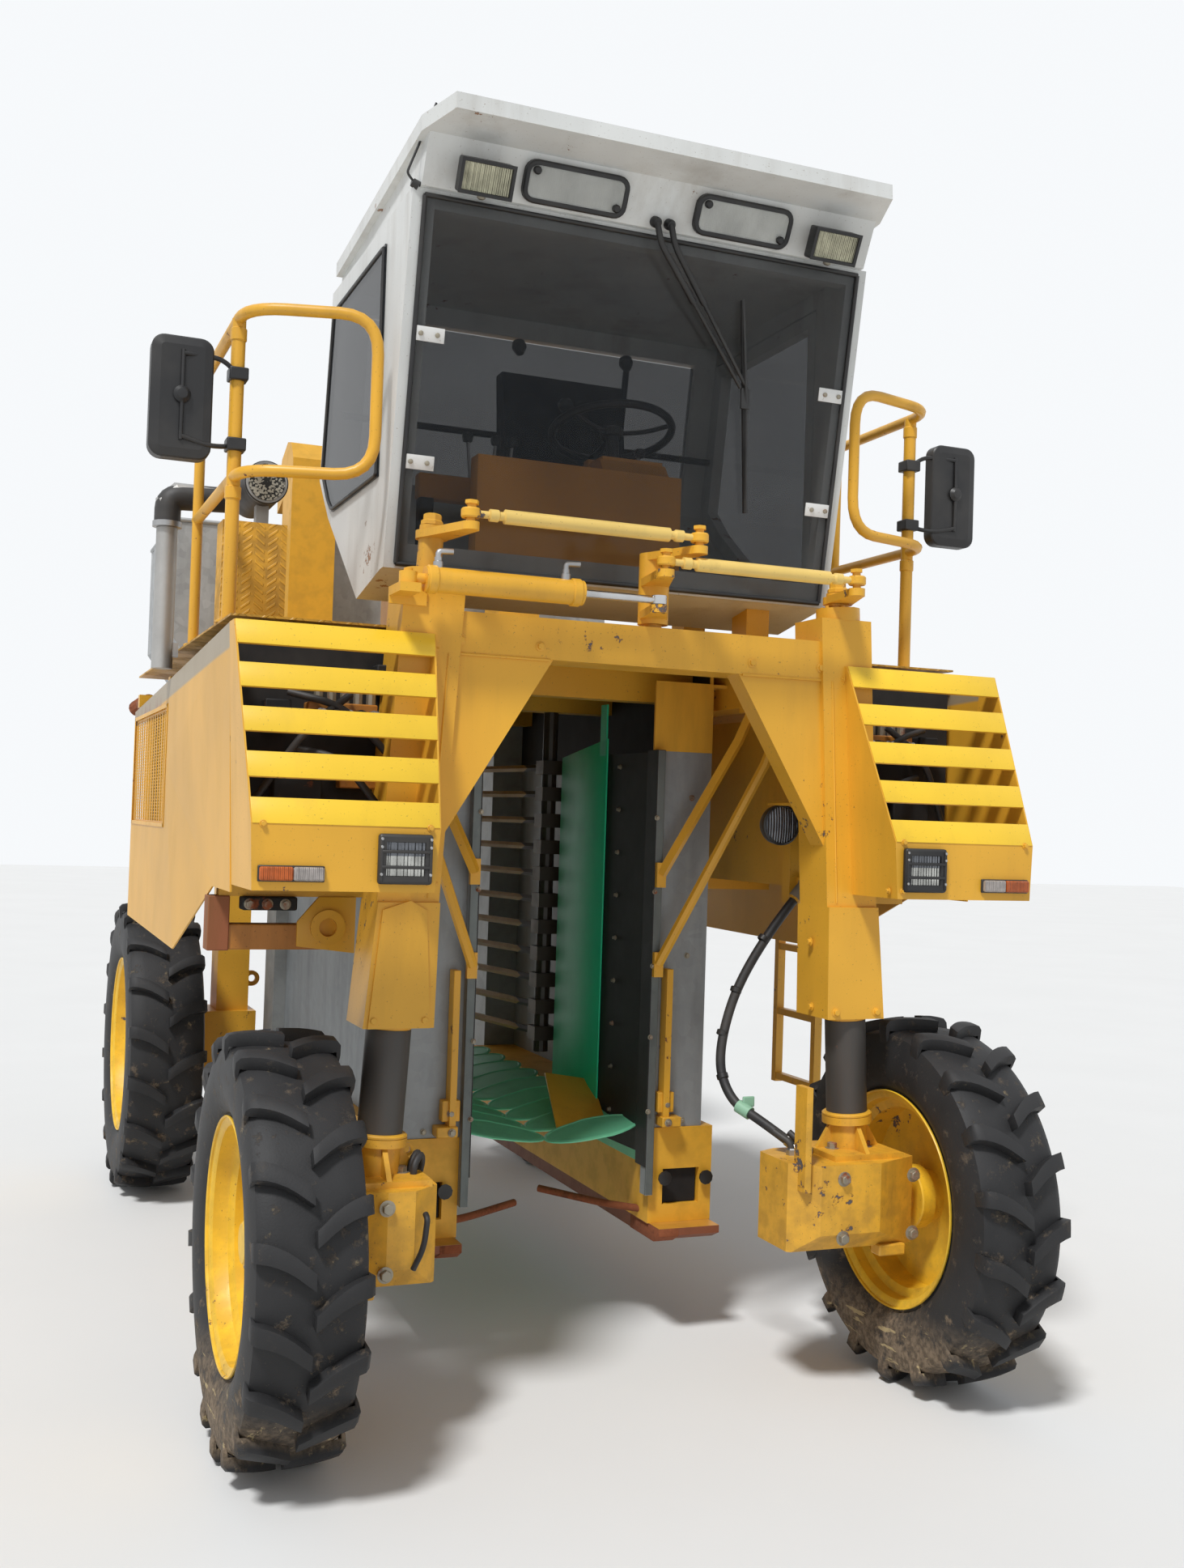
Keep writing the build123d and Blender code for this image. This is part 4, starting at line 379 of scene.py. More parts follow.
def mix_finishes(c):
    """Every finish of the machine, from the chosen colours."""
    body, slat, rod, cab, liner, scale, rubber, mud, rust, primer = map(tuple, (
        c.body, c.slat, c.rod, c.cab, c.liner, c.scale, c.rubber, c.mud, c.rust, c.primer))
    # Mud lies on the front tyres' flanks up to this height from their middle
    for wheel, low in zip(WHEELS, (-0.33, None)):
        name = "tyre " + wheel.name
        finishes[name] = rubbery(name, rubber, mud, at(0, wheel.y, wheel.tyre_r),
                                 wheel.tyre_r / 1000, low)
    finishes.update({
        "body": painted("body paint", body, dirt_share=0.22, chips=0.18, rust=rust, under=primer),
        "hub": painted("hub paint", dimmed(body, 1.04), chips=0.38, rust=rust, under=primer,
                       low_dirt=0.4),
        "slat": painted("slat paint", slat, dirt_share=0.2, rough=0.34),
        "rod": painted("rod paint", rod, dirt_share=0.5, chips=0.2, rust=rust),
        "rail": painted("rail paint", dimmed(body, 1.02), dirt_share=0.4, chips=0.35, rust=rust,
                        under=rust),
        "rim": painted("rim paint", (0.88, 0.54, 0.03), dirt_share=0.35, chips=0.25, low_dirt=0.25,
                       rust=rust),
        # Shaker rods: tan towards the middle; their outer ends, past |X| 0.2295, near black as
        # painted shade
        "shaker": by_place("shaker rods", 0.2295, (0.52, 0.30, 0.08), (0.035, 0.025, 0.015), 0.45,
                           "|X|"),
        "cab": painted("cab paint", cab, dirt=(0.25, 0.2, 0.14), dirt_share=0.45, chips=0.12,
                       rust=(0.2, 0.09, 0.04), under=(0.35, 0.2, 0.12)),
        "rusty paint": painted("rusty paint", (0.30, 0.10, 0.04), dirt_share=0.8, chips=0.6,
                               rust=rust, under=(0.08, 0.03, 0.02), rough=0.7),
        "column": painted("column coat", (0.055, 0.05, 0.045), dirt=(0.12, 0.07, 0.04),
                          dirt_share=0.7, chips=0.15, rust=(0.2, 0.07, 0.03), rough=0.5),
        "edge": metal("galvanised edge", (0.16, 0.18, 0.175), 0.4, spangle=0.25, metallic=0.5),
        "dark sheet": metal("dark sheet", (0.03, 0.031, 0.03), 0.45, metallic=0.25),
        "tub": metal("hopper sheet", (0.42, 0.43, 0.43), 0.42, spangle=0.45, metallic=0.45),
        "pipe": metal("intake pipe", (0.52, 0.51, 0.49), 0.42, metallic=0.7),
        "steel": metal("bright steel", (0.5, 0.5, 0.5), 0.3, metallic=1.0),
        "chrome": metal("chromed rod", (0.7, 0.7, 0.7), 0.12, metallic=1.0),
        "bolt": metal("zinc bolts", (0.42, 0.38, 0.3), 0.45, rust_share=0.3, metallic=0.8),
        "rust": metal("rusty iron", dimmed(rust, 1.3), 0.75, rust_share=0.7, metallic=0.2),
        "engine": metal("engine iron", (0.025, 0.025, 0.025), 0.6, rust_share=0.15, metallic=0.4),
        "black": moulded("black plastic", (0.012, 0.012, 0.013), 0.42),
        "hose": moulded("hose rubber", (0.016, 0.016, 0.018), 0.55, 0.5),
        "sleeve": moulded("grey sleeve", (0.24, 0.21, 0.17), 0.8, 0.6, 0.8),
        # Near black: dark posts and a console block, and sheets that stand for shade behind bays,
        # grilles and windows
        "dark": moulded("dark inside", (0.006, 0.005, 0.005), 0.8),
        "seat": moulded("seat cover", (0.02, 0.02, 0.022), 0.85, 0.3, 1.0),
        "dash": painted("console paint", (0.95, 0.42, 0.08), dirt_share=0.4, rough=0.45),
        "valve": painted("valve paint", (0.50, 0.20, 0.03), dirt=(0.03, 0.02, 0.01),
                         dirt_share=0.8, chips=0.3, rust=rust),
        "liner": moulded("liner plastic", liner, 0.4, 0.12),
        "scale": moulded("scale plastic", scale, 0.45, 0.2),
        "clamp": moulded("clamp plastic", (0.28, 0.52, 0.36), 0.5, 0.5),
        "clip": painted("clip paint", (0.8, 0.8, 0.78), dirt_share=0.3),
        "lens": ribbed("lamp lens", (0.62, 0.62, 0.58), 0.009, 0.14, 0.75),
        "smoked lens": ribbed("smoked lens", (0.20, 0.21, 0.23), 0.009, 0.14, 0.6),
        "work lens": ribbed("work lamp lens", (0.55, 0.53, 0.38), 0.006, 0.16, 0.6),
        "amber": ribbed("amber lens", (0.62, 0.13, 0.02), 0.005, 0.25),
        "clear": ribbed("clear lens", (0.5, 0.45, 0.42), 0.005, 0.25),
        # The side panes are darker by 0.26 as painted shade
        "screen": tinted("cab screen", (0.003, 0.006, 0.010), 0.38, side=0.26),
        "pane": tinted("cab pane", (0.004, 0.014, 0.030), 0.60),
        "mirror": metal("mirror glass", (0.75, 0.78, 0.8), 0.03, metallic=1.0),
        "gauze": metal("vent gauze", (0.60, 0.61, 0.58), 0.5, metallic=0.1),
        "liner plates": by_place("scales and liners", 0.715, scale, liner, 0.42),
        "exhaust": metal("exhaust pipe", (0.12, 0.05, 0.03), 0.8, rust_share=0.8, metallic=0.2),
        "deck": checkered("deck plate", dimmed(body, 0.75), 0.7),
        "step": checkered("step plate", dimmed(body, 1.0), 0.9),
        "canister": speckled("canister end"),
        # Head sheets and frame: their tunnel side is painted shade, near black
        "housing": housing("head sheets", (0.30, 0.32, 0.33), 0.35),
        "head": housing("head frame", body, 0.0),
        "headed": by_place("elevator casing", 2.28, (0.33, 0.35, 0.35), body, 0.45),
        "base": by_place("head base", 0.372, dimmed(rust, 1.5), dimmed(body, 1.02), 0.5),
        "skin": covered("side cover paint", body, rust),
    })


def checkered(name, shade, raised):
    """Chequer plate: raised slanted dashes in a herringbone."""
    f = Finish(name)
    x, y, z = f.axis("X"), f.axis("Y"), f.axis("Z")
    across, along = (x + y * 0.6) * 26, (z + y) * 40
    slope = across.reckon("PINGPONG", across, 1.0)
    turn = along + slope * 1.2
    line = turn.reckon("FRACT", turn) - 0.5
    pattern = line.size().below(0.17, 0.1) * (slope - 0.5).size().below(0.36, 0.06)
    wear = f.noise(9, 6.0).above(0.52, 0.15)
    base = f.mix(wear * 0.5, shade, (0.13, 0.07, 0.03))
    base = f.mix(pattern * 0.35, base, dimmed(shade, 1.25))
    return f.surface(base, wear * 0.2 + 0.45, normal=f.bump(pattern, 0.002, raised))


def housing(name, shade, metallic):
    """Clean outside and in front; its inner side, in the head's tunnel, painted near black as
    shade.
    """
    f = Finish(name)
    outer = f.mix(f.flakes(34) * metallic, shade, dimmed(shade, 1.35))
    runs = f.noise(9, 6.0, stretch=(1, 1, 0.2)).above(0.55, 0.2) * 0.3
    outer = f.mix(runs, outer, dimmed(shade, 0.4))
    # Painted shade: near black inside the tunnel, behind the head's front edge
    inside = (f.axis("X").size().below(0.5055, 0.0005)
              * f.axis("Y").above(HEAD_FRONT_Y + 0.006, 0.0005))
    base = f.mix(inside, outer, (0.012, 0.011, 0.009))
    return f.surface(base, f.noise(12, 3.0) * 0.2 + 0.5 + inside * 0.2, (1 - inside) * metallic,
                     f.bump(f.noise(260, 3.0), 0.0008, 0.4))


def speckled(name):
    """Round screen with a coarse stony speckle."""
    f = Finish(name)
    grey = f.flakes(170)
    base = f.mix(grey.above(0.55, 0.1), (0.02, 0.02, 0.018), (0.42, 0.4, 0.33))
    return f.surface(base, 0.8, normal=f.bump(grey, 0.002, 0.8))


def covered(name, shade, rust):
    """Side cover: beige strip along its top and rust that runs down from the rear grille."""
    f = Finish(name)
    z, y = f.axis("Z"), f.axis("Y")
    broad = f.noise(1.5, 3.0)
    tone = f.mix(broad.above(0.5, 0.35), shade, dimmed(shade, 0.82))
    # The cover's top edge sinks a little towards the front
    strip = (z + y * 0.045).above(2.02, 0.008)
    base = f.mix(strip, tone, (0.36, 0.29, 0.19))
    runs = f.noise(16, 6.0, stretch=(1, 1, 0.1)).above(0.53, 0.12)
    stain = runs * y.above(-0.25, 0.25) * z.above(1.75, 0.3) * z.below(2.04, 0.05)
    base = f.mix(stain * 0.75, base, dimmed(rust, 1.6))
    grime = f.noise(5, 7.0, stretch=(1, 1, 0.5)).above(0.6, 0.25) * 0.12
    base = f.mix(grime, base, (0.22, 0.12, 0.04))
    return f.surface(base, grime * 0.3 + 0.42, normal=f.bump(f.noise(420, 2.0), 0.0008, 0.3))


NODE_FINISHES = {
    "portal": "body", "main_frame": "body", "rear_legs": "body", "outriggers": "body",
    "deck": "deck", "pod_left": "body", "pod_right": "body", "side_cover_left": "skin",
    "side_cover_right": "skin", "cab_mounts": "body", "cab_shell": "cab", "cab_roof": "cab",
    "cab_glass": "screen", "door_glass": "pane", "door_frame": "cab", "seat": "seat",
    "console": "dash", "steering_wheel": "black", "head_frame": "head", "head_sheets": "housing",
    "head_base": "base", "shaker_left": "shaker", "shaker_right": "shaker",
    "scale_plates": "liner plates", "elevators": "headed", "engine": "engine", "tank": "body",
    "ladder": "rail", "handrail_left": "rail", "handrail_right": "rail", "knuckle_left": "hub",
    "knuckle_right": "hub", "bellcrank": "hub", "tie_rod_left": "rod", "tie_rod_right": "rod",
    "steer_barrel": "rail", "steer_rod": "chrome", "hopper_left": "tub", "hopper_right": "tub",
    "tyre_front_left": "tyre front", "tyre_front_right": "tyre front",
    "tyre_rear_left": "tyre rear", "tyre_rear_right": "tyre rear", "rim_front_left": "rim",
    "rim_front_right": "rim", "rim_rear_left": "rim", "rim_rear_right": "rim",
    "front_lamps": "black", "side_grilles": "body", "cab_vents": "black", "roof_lamps": "black",
    "wipers": "black", "screen_clips": "clip", "head_braces": "body", "work_lamps": "black",
    "exhaust": "exhaust", "air_intake": "pipe", "step_box": "step", "mirrors": "black",
    "hose_right": "hose",
}

# Modelling helpers, all on Blender's own tools


def clear():
    bpy.ops.object.select_all(action="DESELECT")


def pick(*objects):
    clear()
    for obj in objects:
        obj.select_set(True)
    bpy.context.view_layer.objects.active = objects[0]


@contextmanager
def editing(obj):
    """Edit mode on one object, everything selected; gives its mesh for picking by place."""
    pick(obj)
    bpy.ops.object.mode_set(mode="EDIT")
    bpy.ops.mesh.select_mode(type="VERT")
    bpy.ops.mesh.select_all(action="SELECT")
    yield bmesh.from_edit_mesh(obj.data)
    bpy.ops.object.mode_set(mode="OBJECT")


def choose(obj, mesh, test, kind="FACE"):
    """Select the faces or edges that pass a test, and nothing else."""
    bpy.ops.mesh.select_mode(type=kind)
    bpy.ops.mesh.select_all(action="DESELECT")
    for item in (mesh.faces if kind == "FACE" else mesh.edges):
        item.select_set(bool(test(item)))
    bmesh.update_edit_mesh(obj.data)


def coat(obj, finish):
    obj.data.materials.clear()
    obj.data.materials.append(finishes[finish])
    return obj


def settle(obj, finish=None, angle=35):
    """Put the object's place into its mesh, shade it and give it its finish."""
    pick(obj)
    bpy.ops.object.transform_apply(location=True, rotation=True, scale=True)
    bpy.ops.object.shade_smooth_by_angle(angle=math.radians(angle))
    return coat(obj, finish) if finish else obj


def block(finish, low, high, bevel=0.002, segments=2):
    """Block between two corners, with every edge rounded."""
    low, high = Vector(low), Vector(high)
    clear()
    bpy.ops.mesh.primitive_cube_add(size=1, location=(low + high) / 2)
    obj = bpy.context.object
    obj.scale = high - low
    settle(obj, finish)
    if bevel:
        with editing(obj):
            bpy.ops.mesh.bevel(offset=bevel, segments=segments, affect="EDGES",
                               clamp_overlap=True)
    return obj


def box(finish, xs, ys, zs, bevel=0.002, segments=2, sign=1):
    """Block by its sides in millimetres; with a sign of -1 it stands on the left."""
    x0, x1 = sorted(sign * x for x in xs)
    return block(finish, at(x0, ys[0], zs[0]), at(x1, ys[1], zs[1]), bevel, segments)


def rectangle(low, high):
    """Corners of an upright rectangle between two corners in millimetres."""
    return [at(*low), at(high[0], high[1], low[2]), at(*high), at(low[0], low[1], high[2])]


def plate(finish, corners, thick, bevel=0.0):
    """Sheet on a loop of corners, extruded along a vector."""
    clear()
    bpy.ops.mesh.primitive_circle_add(vertices=len(corners), fill_type="NGON")
    obj = bpy.context.object
    for vertex, corner in zip(obj.data.vertices, corners):
        vertex.co = corner
    with editing(obj):
        bpy.ops.mesh.extrude_region_move(TRANSFORM_OT_translate={"value": tuple(thick)})
        bpy.ops.mesh.select_all(action="SELECT")
        bpy.ops.mesh.normals_make_consistent(inside=False)
        if bevel:
            bpy.ops.mesh.bevel(offset=bevel, segments=2, affect="EDGES", clamp_overlap=True)
    return settle(obj, finish)


def turned(finish, outline, centre, axis, steps=48, closed=False, angle=35):
    """Shape turned about an axis; outline is (radius, height along the axis)."""
    centre, axis = Vector(centre), Vector(axis).normalized()
    side = axis.orthogonal().normalized()
    clear()
    bpy.ops.mesh.primitive_circle_add(vertices=len(outline), fill_type="NOTHING")
    obj = bpy.context.object
    for vertex, (radius, height) in zip(obj.data.vertices, outline):
        vertex.co = centre + side * radius + axis * height
    with editing(obj) as mesh:
        if not closed:
            mesh.verts.ensure_lookup_table()
            ends = {mesh.verts[0], mesh.verts[len(outline) - 1]}
            choose(obj, mesh, lambda edge: set(edge.verts) == ends, "EDGE")
            bpy.ops.mesh.delete(type="EDGE")
            bpy.ops.mesh.select_mode(type="VERT")
            bpy.ops.mesh.select_all(action="SELECT")
        bpy.ops.mesh.spin(steps=steps, angle=2 * math.pi, center=centre, axis=axis)
        bpy.ops.mesh.select_all(action="SELECT")
        bpy.ops.mesh.remove_doubles(threshold=0.00002)
        bpy.ops.mesh.normals_make_consistent(inside=False)
    return settle(obj, finish, angle)


def line_curve(name, kind, places):
    """Curve object along places, to be given its thickness."""
    curve = bpy.data.curves.new(name, "CURVE")
    curve.dimensions = "3D"
    curve.use_fill_caps = True
    line = curve.splines.new(kind)
    line.points.add(len(places) - 1)
    for point, place in zip(line.points, places):
        point.co = (*place, 1)
    obj = bpy.data.objects.new(name, curve)
    bpy.context.collection.objects.link(obj)
    return obj, curve, line


CORNER_STEPS = 6


def tube(finish, points, radius, corner=0.07, sides=3):
    """Bent tube along straight runs with rounded corners."""
    points = [Vector(p) for p in points]
    path = [points[0]]
    for before, middle, after in zip(points, points[1:], points[2:]):
        a, b = (before - middle).normalized(), (after - middle).normalized()
        cut = min(corner, (before - middle).length * 0.49, (after - middle).length * 0.49)
        for step in range(CORNER_STEPS + 1):
            t = step / CORNER_STEPS
            path.append((middle + a * cut) * (1 - t) ** 2 + middle * 2 * t * (1 - t)
                        + (middle + b * cut) * t ** 2)
    path.append(points[-1])
    obj, curve, _ = line_curve("tube", "POLY", path)
    curve.bevel_depth = radius
    curve.bevel_resolution = sides
    pick(obj)
    bpy.ops.object.convert(target="MESH")
    return settle(bpy.context.object, finish, 50)


MIRROR = Matrix.Diagonal((-1, 1, 1, 1))


def copied(obj, matrix, name=None):
    """Copy with its own mesh, moved in the mesh itself."""
    twin = obj.copy()
    twin.data = obj.data.copy()
    twin.data.transform(matrix)
    if matrix.determinant() < 0:
        twin.data.flip_normals()
    twin.name = name or obj.name
    bpy.context.collection.objects.link(twin)
    return twin


def spread(model, matrices):
    """Copies of a model by matrices; the model itself goes."""
    copies = [copied(model, matrix) for matrix in matrices]
    bpy.data.objects.remove(model)
    return copies


def moved(parts, matrix):
    for part in parts:
        part.data.transform(matrix)
    return parts


def sided(obj, sign):
    """Mirror a finished piece in its mesh when it belongs on the left."""
    if sign < 0:
        obj.data.transform(MIRROR)
        obj.data.flip_normals()
    return obj


def joined(name, parts):
    pick(*parts)
    if len(parts) > 1:
        bpy.ops.object.join()
    bpy.context.object.name = name
    return bpy.context.object


def mounted(name, parts, body="chassis", node=None):
    """Join parts into one piece on its body, in place of the frame's own node if named."""
    piece = joined(name, parts)
    if node:
        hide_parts(node)
    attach(piece, body)
    return piece


def paired(right, node):
    """Right piece and its mirrored left twin, both in place of one node of black plastic."""
    left = copied(right, MIRROR, right.name.replace("right", "left"))
    for piece in (right, left):
        mounted(piece.name, [piece], node=node)


def facing(place, normal):
    """Matrix that stands a piece modelled along +Z on a place, along a normal."""
    turn = Vector((0, 0, 1)).rotation_difference(Vector(normal).normalized())
    return Matrix.Translation(place) @ turn.to_matrix().to_4x4()


def bolt(width, height=0.008, washer=True, finish="bolt"):
    """Hexagon bolt head on its washer, standing on the origin along +Z."""
    clear()
    bpy.ops.mesh.primitive_cylinder_add(vertices=6, radius=width / 2, depth=height,
                                        location=(0, 0, height / 2 + 0.0015))
    head = settle(bpy.context.object, finish, 30)
    with editing(head) as mesh:
        choose(head, mesh, lambda face: face.normal.z > 0.9)
        bpy.ops.mesh.inset(thickness=width * 0.06, depth=width * 0.05)
    if not washer:
        return head
    ring = turned(finish, [(0.0, 0.0), (width * 0.72, 0.0), (width * 0.72, 0.0016),
                           (width * 0.66, 0.0022), (0.0, 0.0022)], (0, 0, 0), UP, 14)
    return joined("bolt", [head, ring])


def stud(place, normal, width=0.018, height=0.008, **how):
    """One bolt head at a place."""
    return moved([bolt(width, height, **how)], facing(place, normal))[0]


def bolted(name, places, width, finish):
    """Bolt heads at (place, normal) pairs, joined into one piece of the chassis."""
    model = bolt(width, finish=finish)
    mounted(name, spread(model, [facing(*place) for place in places]))


# Operators


class HARVESTER_OT_finishes(bpy.types.Operator):
    """Mix the finishes and give each of the frame's own parts its finish"""
    bl_idname = "harvester.finishes"
    bl_label = "Finishes"

    def execute(self, context):
        mix_finishes(context.scene.harvester_colours)
        for node, finish in NODE_FINISHES.items():
            coat(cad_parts[node], finish)
        return {"FINISHED"}


class HARVESTER_OT_hose(bpy.types.Operator):
    """Lay the hydraulic hose from the frame down to the right wheel motor"""
    bl_idname = "harvester.hose"
    bl_label = "Motor hose"

    ROUTE = tuple(at(*place) for place in (
        (690, 300, 1440), (520, 300, 1240), (425, 292, 960), (440, 225, 825), (495, 125, 780),
        (545, 40, 732)))
    END_AXIS = run(50, -85, -48)
    # The points carry the hose's radius, since Blender adds a point's radius to a curve's box
    RADIUS = 0.015

    def execute(self, context):
        hose, curve, line = line_curve("motor_hose", "NURBS", self.ROUTE)
        for point in line.points:
            point.radius = self.RADIUS
        line.order_u = 3
        line.use_endpoint_u = True
        line.resolution_u = 12
        curve.bevel_depth = 1
        curve.bevel_resolution = 4
        curve.materials.append(finishes["hose"])
        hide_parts("hose_right")
        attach(hose, "chassis")
        mounted("hose_sleeve", [turned(
            "sleeve", [(0.0, 0), (0.021, 0), (0.0235, 0.006), (0.0235, 0.055), (0.026, 0.058),
                       (0.026, 0.085), (0.0, 0.085)],
            self.ROUTE[0] + run(2.5, 0, 3), run(170, 0, 200), 20)])
        ferrule = mounted("hose_ferrule", [turned(
            "steel", [(0.0, 0), (0.0158, 0), (0.0175, 0.004), (0.0175, 0.03), (0.021, 0.034),
                      (0.021, 0.05), (0.016, 0.054), (0.016, 0.058), (0.0, 0.058)],
            self.ROUTE[-1] - self.END_AXIS * 0.032, self.END_AXIS, 6)])
        bands = []
        for start, share, end in ((0, 0.62, 1), (1, 0.30, 2), (1, 0.78, 2), (2, 0.5, 3)):
            a, b = self.ROUTE[start], self.ROUTE[end]
            bands.append(turned("black", [(0.0152, -0.009), (0.0185, -0.007), (0.0185, 0.007),
                                          (0.0152, 0.009)],
                                a + (b - a) * share, b - a, 20, closed=True))
        mounted("hose_bands", bands)
        a, b = self.ROUTE[3], self.ROUTE[4]
        middle = (a + b) / 2
        collar = turned("clamp", [(0.0152, -0.024), (0.0205, -0.024), (0.0205, 0.024),
                                  (0.0152, 0.024)], middle, b - a, 24, closed=True)
        tab = block("clamp", middle + run(-6, -4, 8), middle + run(34, 4, 40), 0.003)
        mounted("hose_clamp", [collar, tab])
        tuple(self.ROUTE[0])
        self.measure(hose)
        return {"FINISHED"}

    @staticmethod
    def measure(hose):
        """Length of the hose's line, read from the curve with no bevel."""
        depth = hose.data.bevel_depth
        hose.data.bevel_depth = 0
        mesh = bpy.data.meshes.new_from_object(hose)
        hose.data.bevel_depth = depth
        points = [v.co.copy() for v in mesh.vertices]
        bpy.data.meshes.remove(mesh)
        return sum((b - a).length for a, b in zip(points, points[1:]))


def set_wheels(model, kind, wheel, mirror):
    """Set a model in millimetres on both wheels of an axle, in place of the frame's own."""
    for sign, side in SIDES:
        middle = at(sign * wheel.x, wheel.y, wheel.tyre_r)
        place = Matrix.Translation(middle) @ Matrix.Scale(0.001, 4)
        if mirror and sign < 0:
            place = place @ MIRROR
        place_name = f"{wheel.name}_{side}"
        mounted(f"{kind}_fine_{place_name}", [settle(copied(model, place), angle=40)],
                "wheel_" + place_name, f"{kind}_{place_name}")
    bpy.data.objects.remove(model)


class HARVESTER_OT_tyres(bpy.types.Operator):
    """Model the lugged tyres"""
    bl_idname = "harvester.tyres"
    bl_label = "Tyres"

    # Share of the way out, lead ahead of the shoulder, drop of the top face, width
    STATIONS = ((0.01, 70, 0, 40), (0.14, 56, 0, 42), (0.30, 38, 1, 44), (0.46, 23, 2, 45),
                (0.62, 12, 4, 46), (0.78, 4, 7, 47), (0.92, 0, 11, 48), (0.995, -2, 24, 46),
                (1.0, -3, 52, 40))

    def lug(self, outer, base, half, side):
        """One bar from the tread's middle over the shoulder, modelled at the top of the tyre."""
        clear()
        bpy.ops.mesh.primitive_grid_add(x_subdivisions=len(self.STATIONS) - 1, y_subdivisions=2)
        obj = bpy.context.object
        rows = sorted({round(v.co.x, 4) for v in obj.data.vertices})
        lines = sorted({round(v.co.y, 4) for v in obj.data.vertices})
        for v in obj.data.vertices:
            share, lead, drop, width = self.STATIONS[rows.index(round(v.co.x, 4))]
            along = -lead + width * lines.index(round(v.co.y, 4)) / 2
            reach = outer - drop
            v.co = Vector((side * half * share, reach * math.sin(along / outer),
                           reach * math.cos(along / outer)))
        with editing(obj):
            bpy.ops.mesh.normals_make_consistent(inside=False)
            bpy.ops.mesh.extrude_region_move(TRANSFORM_OT_translate={"value": (0, 0, 0)})
        tops = {i for face in obj.data.polygons if face.select for i in face.vertices}
        for v in obj.data.vertices:
            if v.index not in tops:
                share = abs(v.co.x) / half
                foot = base - 8 - (50 if share > 0.97 else 0)
                scale = min(foot / math.hypot(v.co.y, v.co.z), 0.999)
                flare = -0.012 if v.co.y < 0 else 0.012
                v.co.y *= scale * (1 + flare)
                v.co.z *= scale
                if share > 0.95:
                    v.co.x *= 0.955
        with editing(obj):
            bpy.ops.mesh.normals_make_consistent(inside=False)
        pick(obj)
        bevel = obj.modifiers.new("round", "BEVEL")
        bevel.width = 4
        bevel.segments = 2
        bevel.limit_method = "ANGLE"
        bevel.angle_limit = math.radians(40)
        bpy.ops.object.modifier_apply(modifier="round")
        return obj

    def tyre(self, wheel, lugs, height):
        """Whole tyre about the X axis, in millimetres at the origin."""
        finish, outer, rim_r = "tyre " + wheel.name, wheel.tyre_r, wheel.rim_r
        half, base = wheel.tyre_width / 2, outer - height
        bead = wheel.rim_width / 2 - 14.3
        outline = [(rim_r - 19, bead), (rim_r + 4, bead + 2), (rim_r + 14, bead + 12),
                   (rim_r + 40, half - 8), (rim_r + 75, half - 1),
                   (rim_r + 0.55 * (base - rim_r), half), (base - 45, half - 4),
                   (base - 20, half - 12), (base - 9, half - 30), (base - 3, half - 70),
                   (base, 0)]
        outline += [(r, -x) for r, x in reversed(outline[:-1])]
        pieces = [turned(finish, outline, (0, 0, 0), OUTWARD, 96, closed=True, angle=40)]
        for side in (1, -1):
            shift = 0.5 if side > 0 else 0
            pieces += spread(self.lug(outer, base, half, side),
                             [Matrix.Rotation((i + shift) * 2 * math.pi / lugs, 4, "X")
                              for i in range(lugs)])
        return coat(joined("tyre_model", pieces), finish)

    def execute(self, context):
        sizes = context.scene.harvester_sizes
        for wheel in WHEELS:
            model = self.tyre(wheel, sizes.lugs, sizes.lug_height * 1000)
            set_wheels(model, "tyre", wheel, mirror=False)
        return {"FINISHED"}


class HARVESTER_OT_rims(bpy.types.Operator):
    """Model the dished rims with their flanges, discs and wheel bolts"""
    bl_idname = "harvester.rims"
    bl_label = "Rims"

    BOLTS = 8

    def execute(self, context):
        for wheel in WHEELS:
            r, dish, half, well = wheel.rim_r, wheel.dish, wheel.rim_width / 2, wheel.rim_r - 50
            line = [(r - 2, half), (r, half - 3), (r - 1, half - 8), (r - 14, half - 12),
                    (r - 20, half - 18), (r - 23, half - 50), (r - 26, half - 58),
                    (well, half - 72), (well, -half + 60), (r - 26, -half + 48),
                    (r - 21, -half + 18), (r - 14, -half + 12), (r - 1, -half + 8),
                    (r, -half + 3), (r - 2, -half)]
            inner = [(reach - 6, h) for reach, h in reversed(line[1:-1])]
            disc = [(well + 1, 22), (well - 4, 30), (well - 26, 34), (200, dish - 8),
                    (170, dish + 2), (128, dish + 4), (96, dish - 2), (60, dish - 2),
                    (0.0, dish - 2), (0.0, dish - 12), (126, dish - 9), (168, dish - 11),
                    (198, dish - 20), (well - 26, 22), (well - 2, 14)]
            hub = [(0.0, -58), (92, -58), (96, -54), (96, -12), (78, -6), (78, dish + 6),
                   (60, dish + 9), (56, dish + 34), (50, dish + 40), (0.0, dish + 41)]
            centre = (0, 0, 0)
            pieces = [turned("rim", line + inner, centre, OUTWARD, 72, closed=True),
                      turned("rim", disc, centre, OUTWARD, 64),
                      turned("rim", hub, centre, OUTWARD, 40)]
            stand = facing((dish + 3, 0, 108), OUTWARD)
            pieces += spread(bolt(24, 14), [Matrix.Rotation(i * 2 * math.pi / self.BOLTS, 4, "X")
                                            @ stand for i in range(self.BOLTS)])
            set_wheels(joined("rim_model", pieces), "rim", wheel, mirror=True)
        return {"FINISHED"}


def on_fascia(x, up, ahead):
    """Point on the raked fascia over the windscreen, in millimetres across, up and ahead."""
    return FASCIA_FOOT + run(x, 0, 0) + (FASCIA_RISE * up + FASCIA_OUT * ahead) / 1000


def stood_on_fascia(x, up, ahead):
    """Matrix that stands a piece modelled along +Z on the fascia."""
    turn = Matrix((OUTWARD, FASCIA_RISE, FASCIA_OUT)).transposed().to_4x4()
    return Matrix.Translation(on_fascia(x, up, ahead)) @ turn


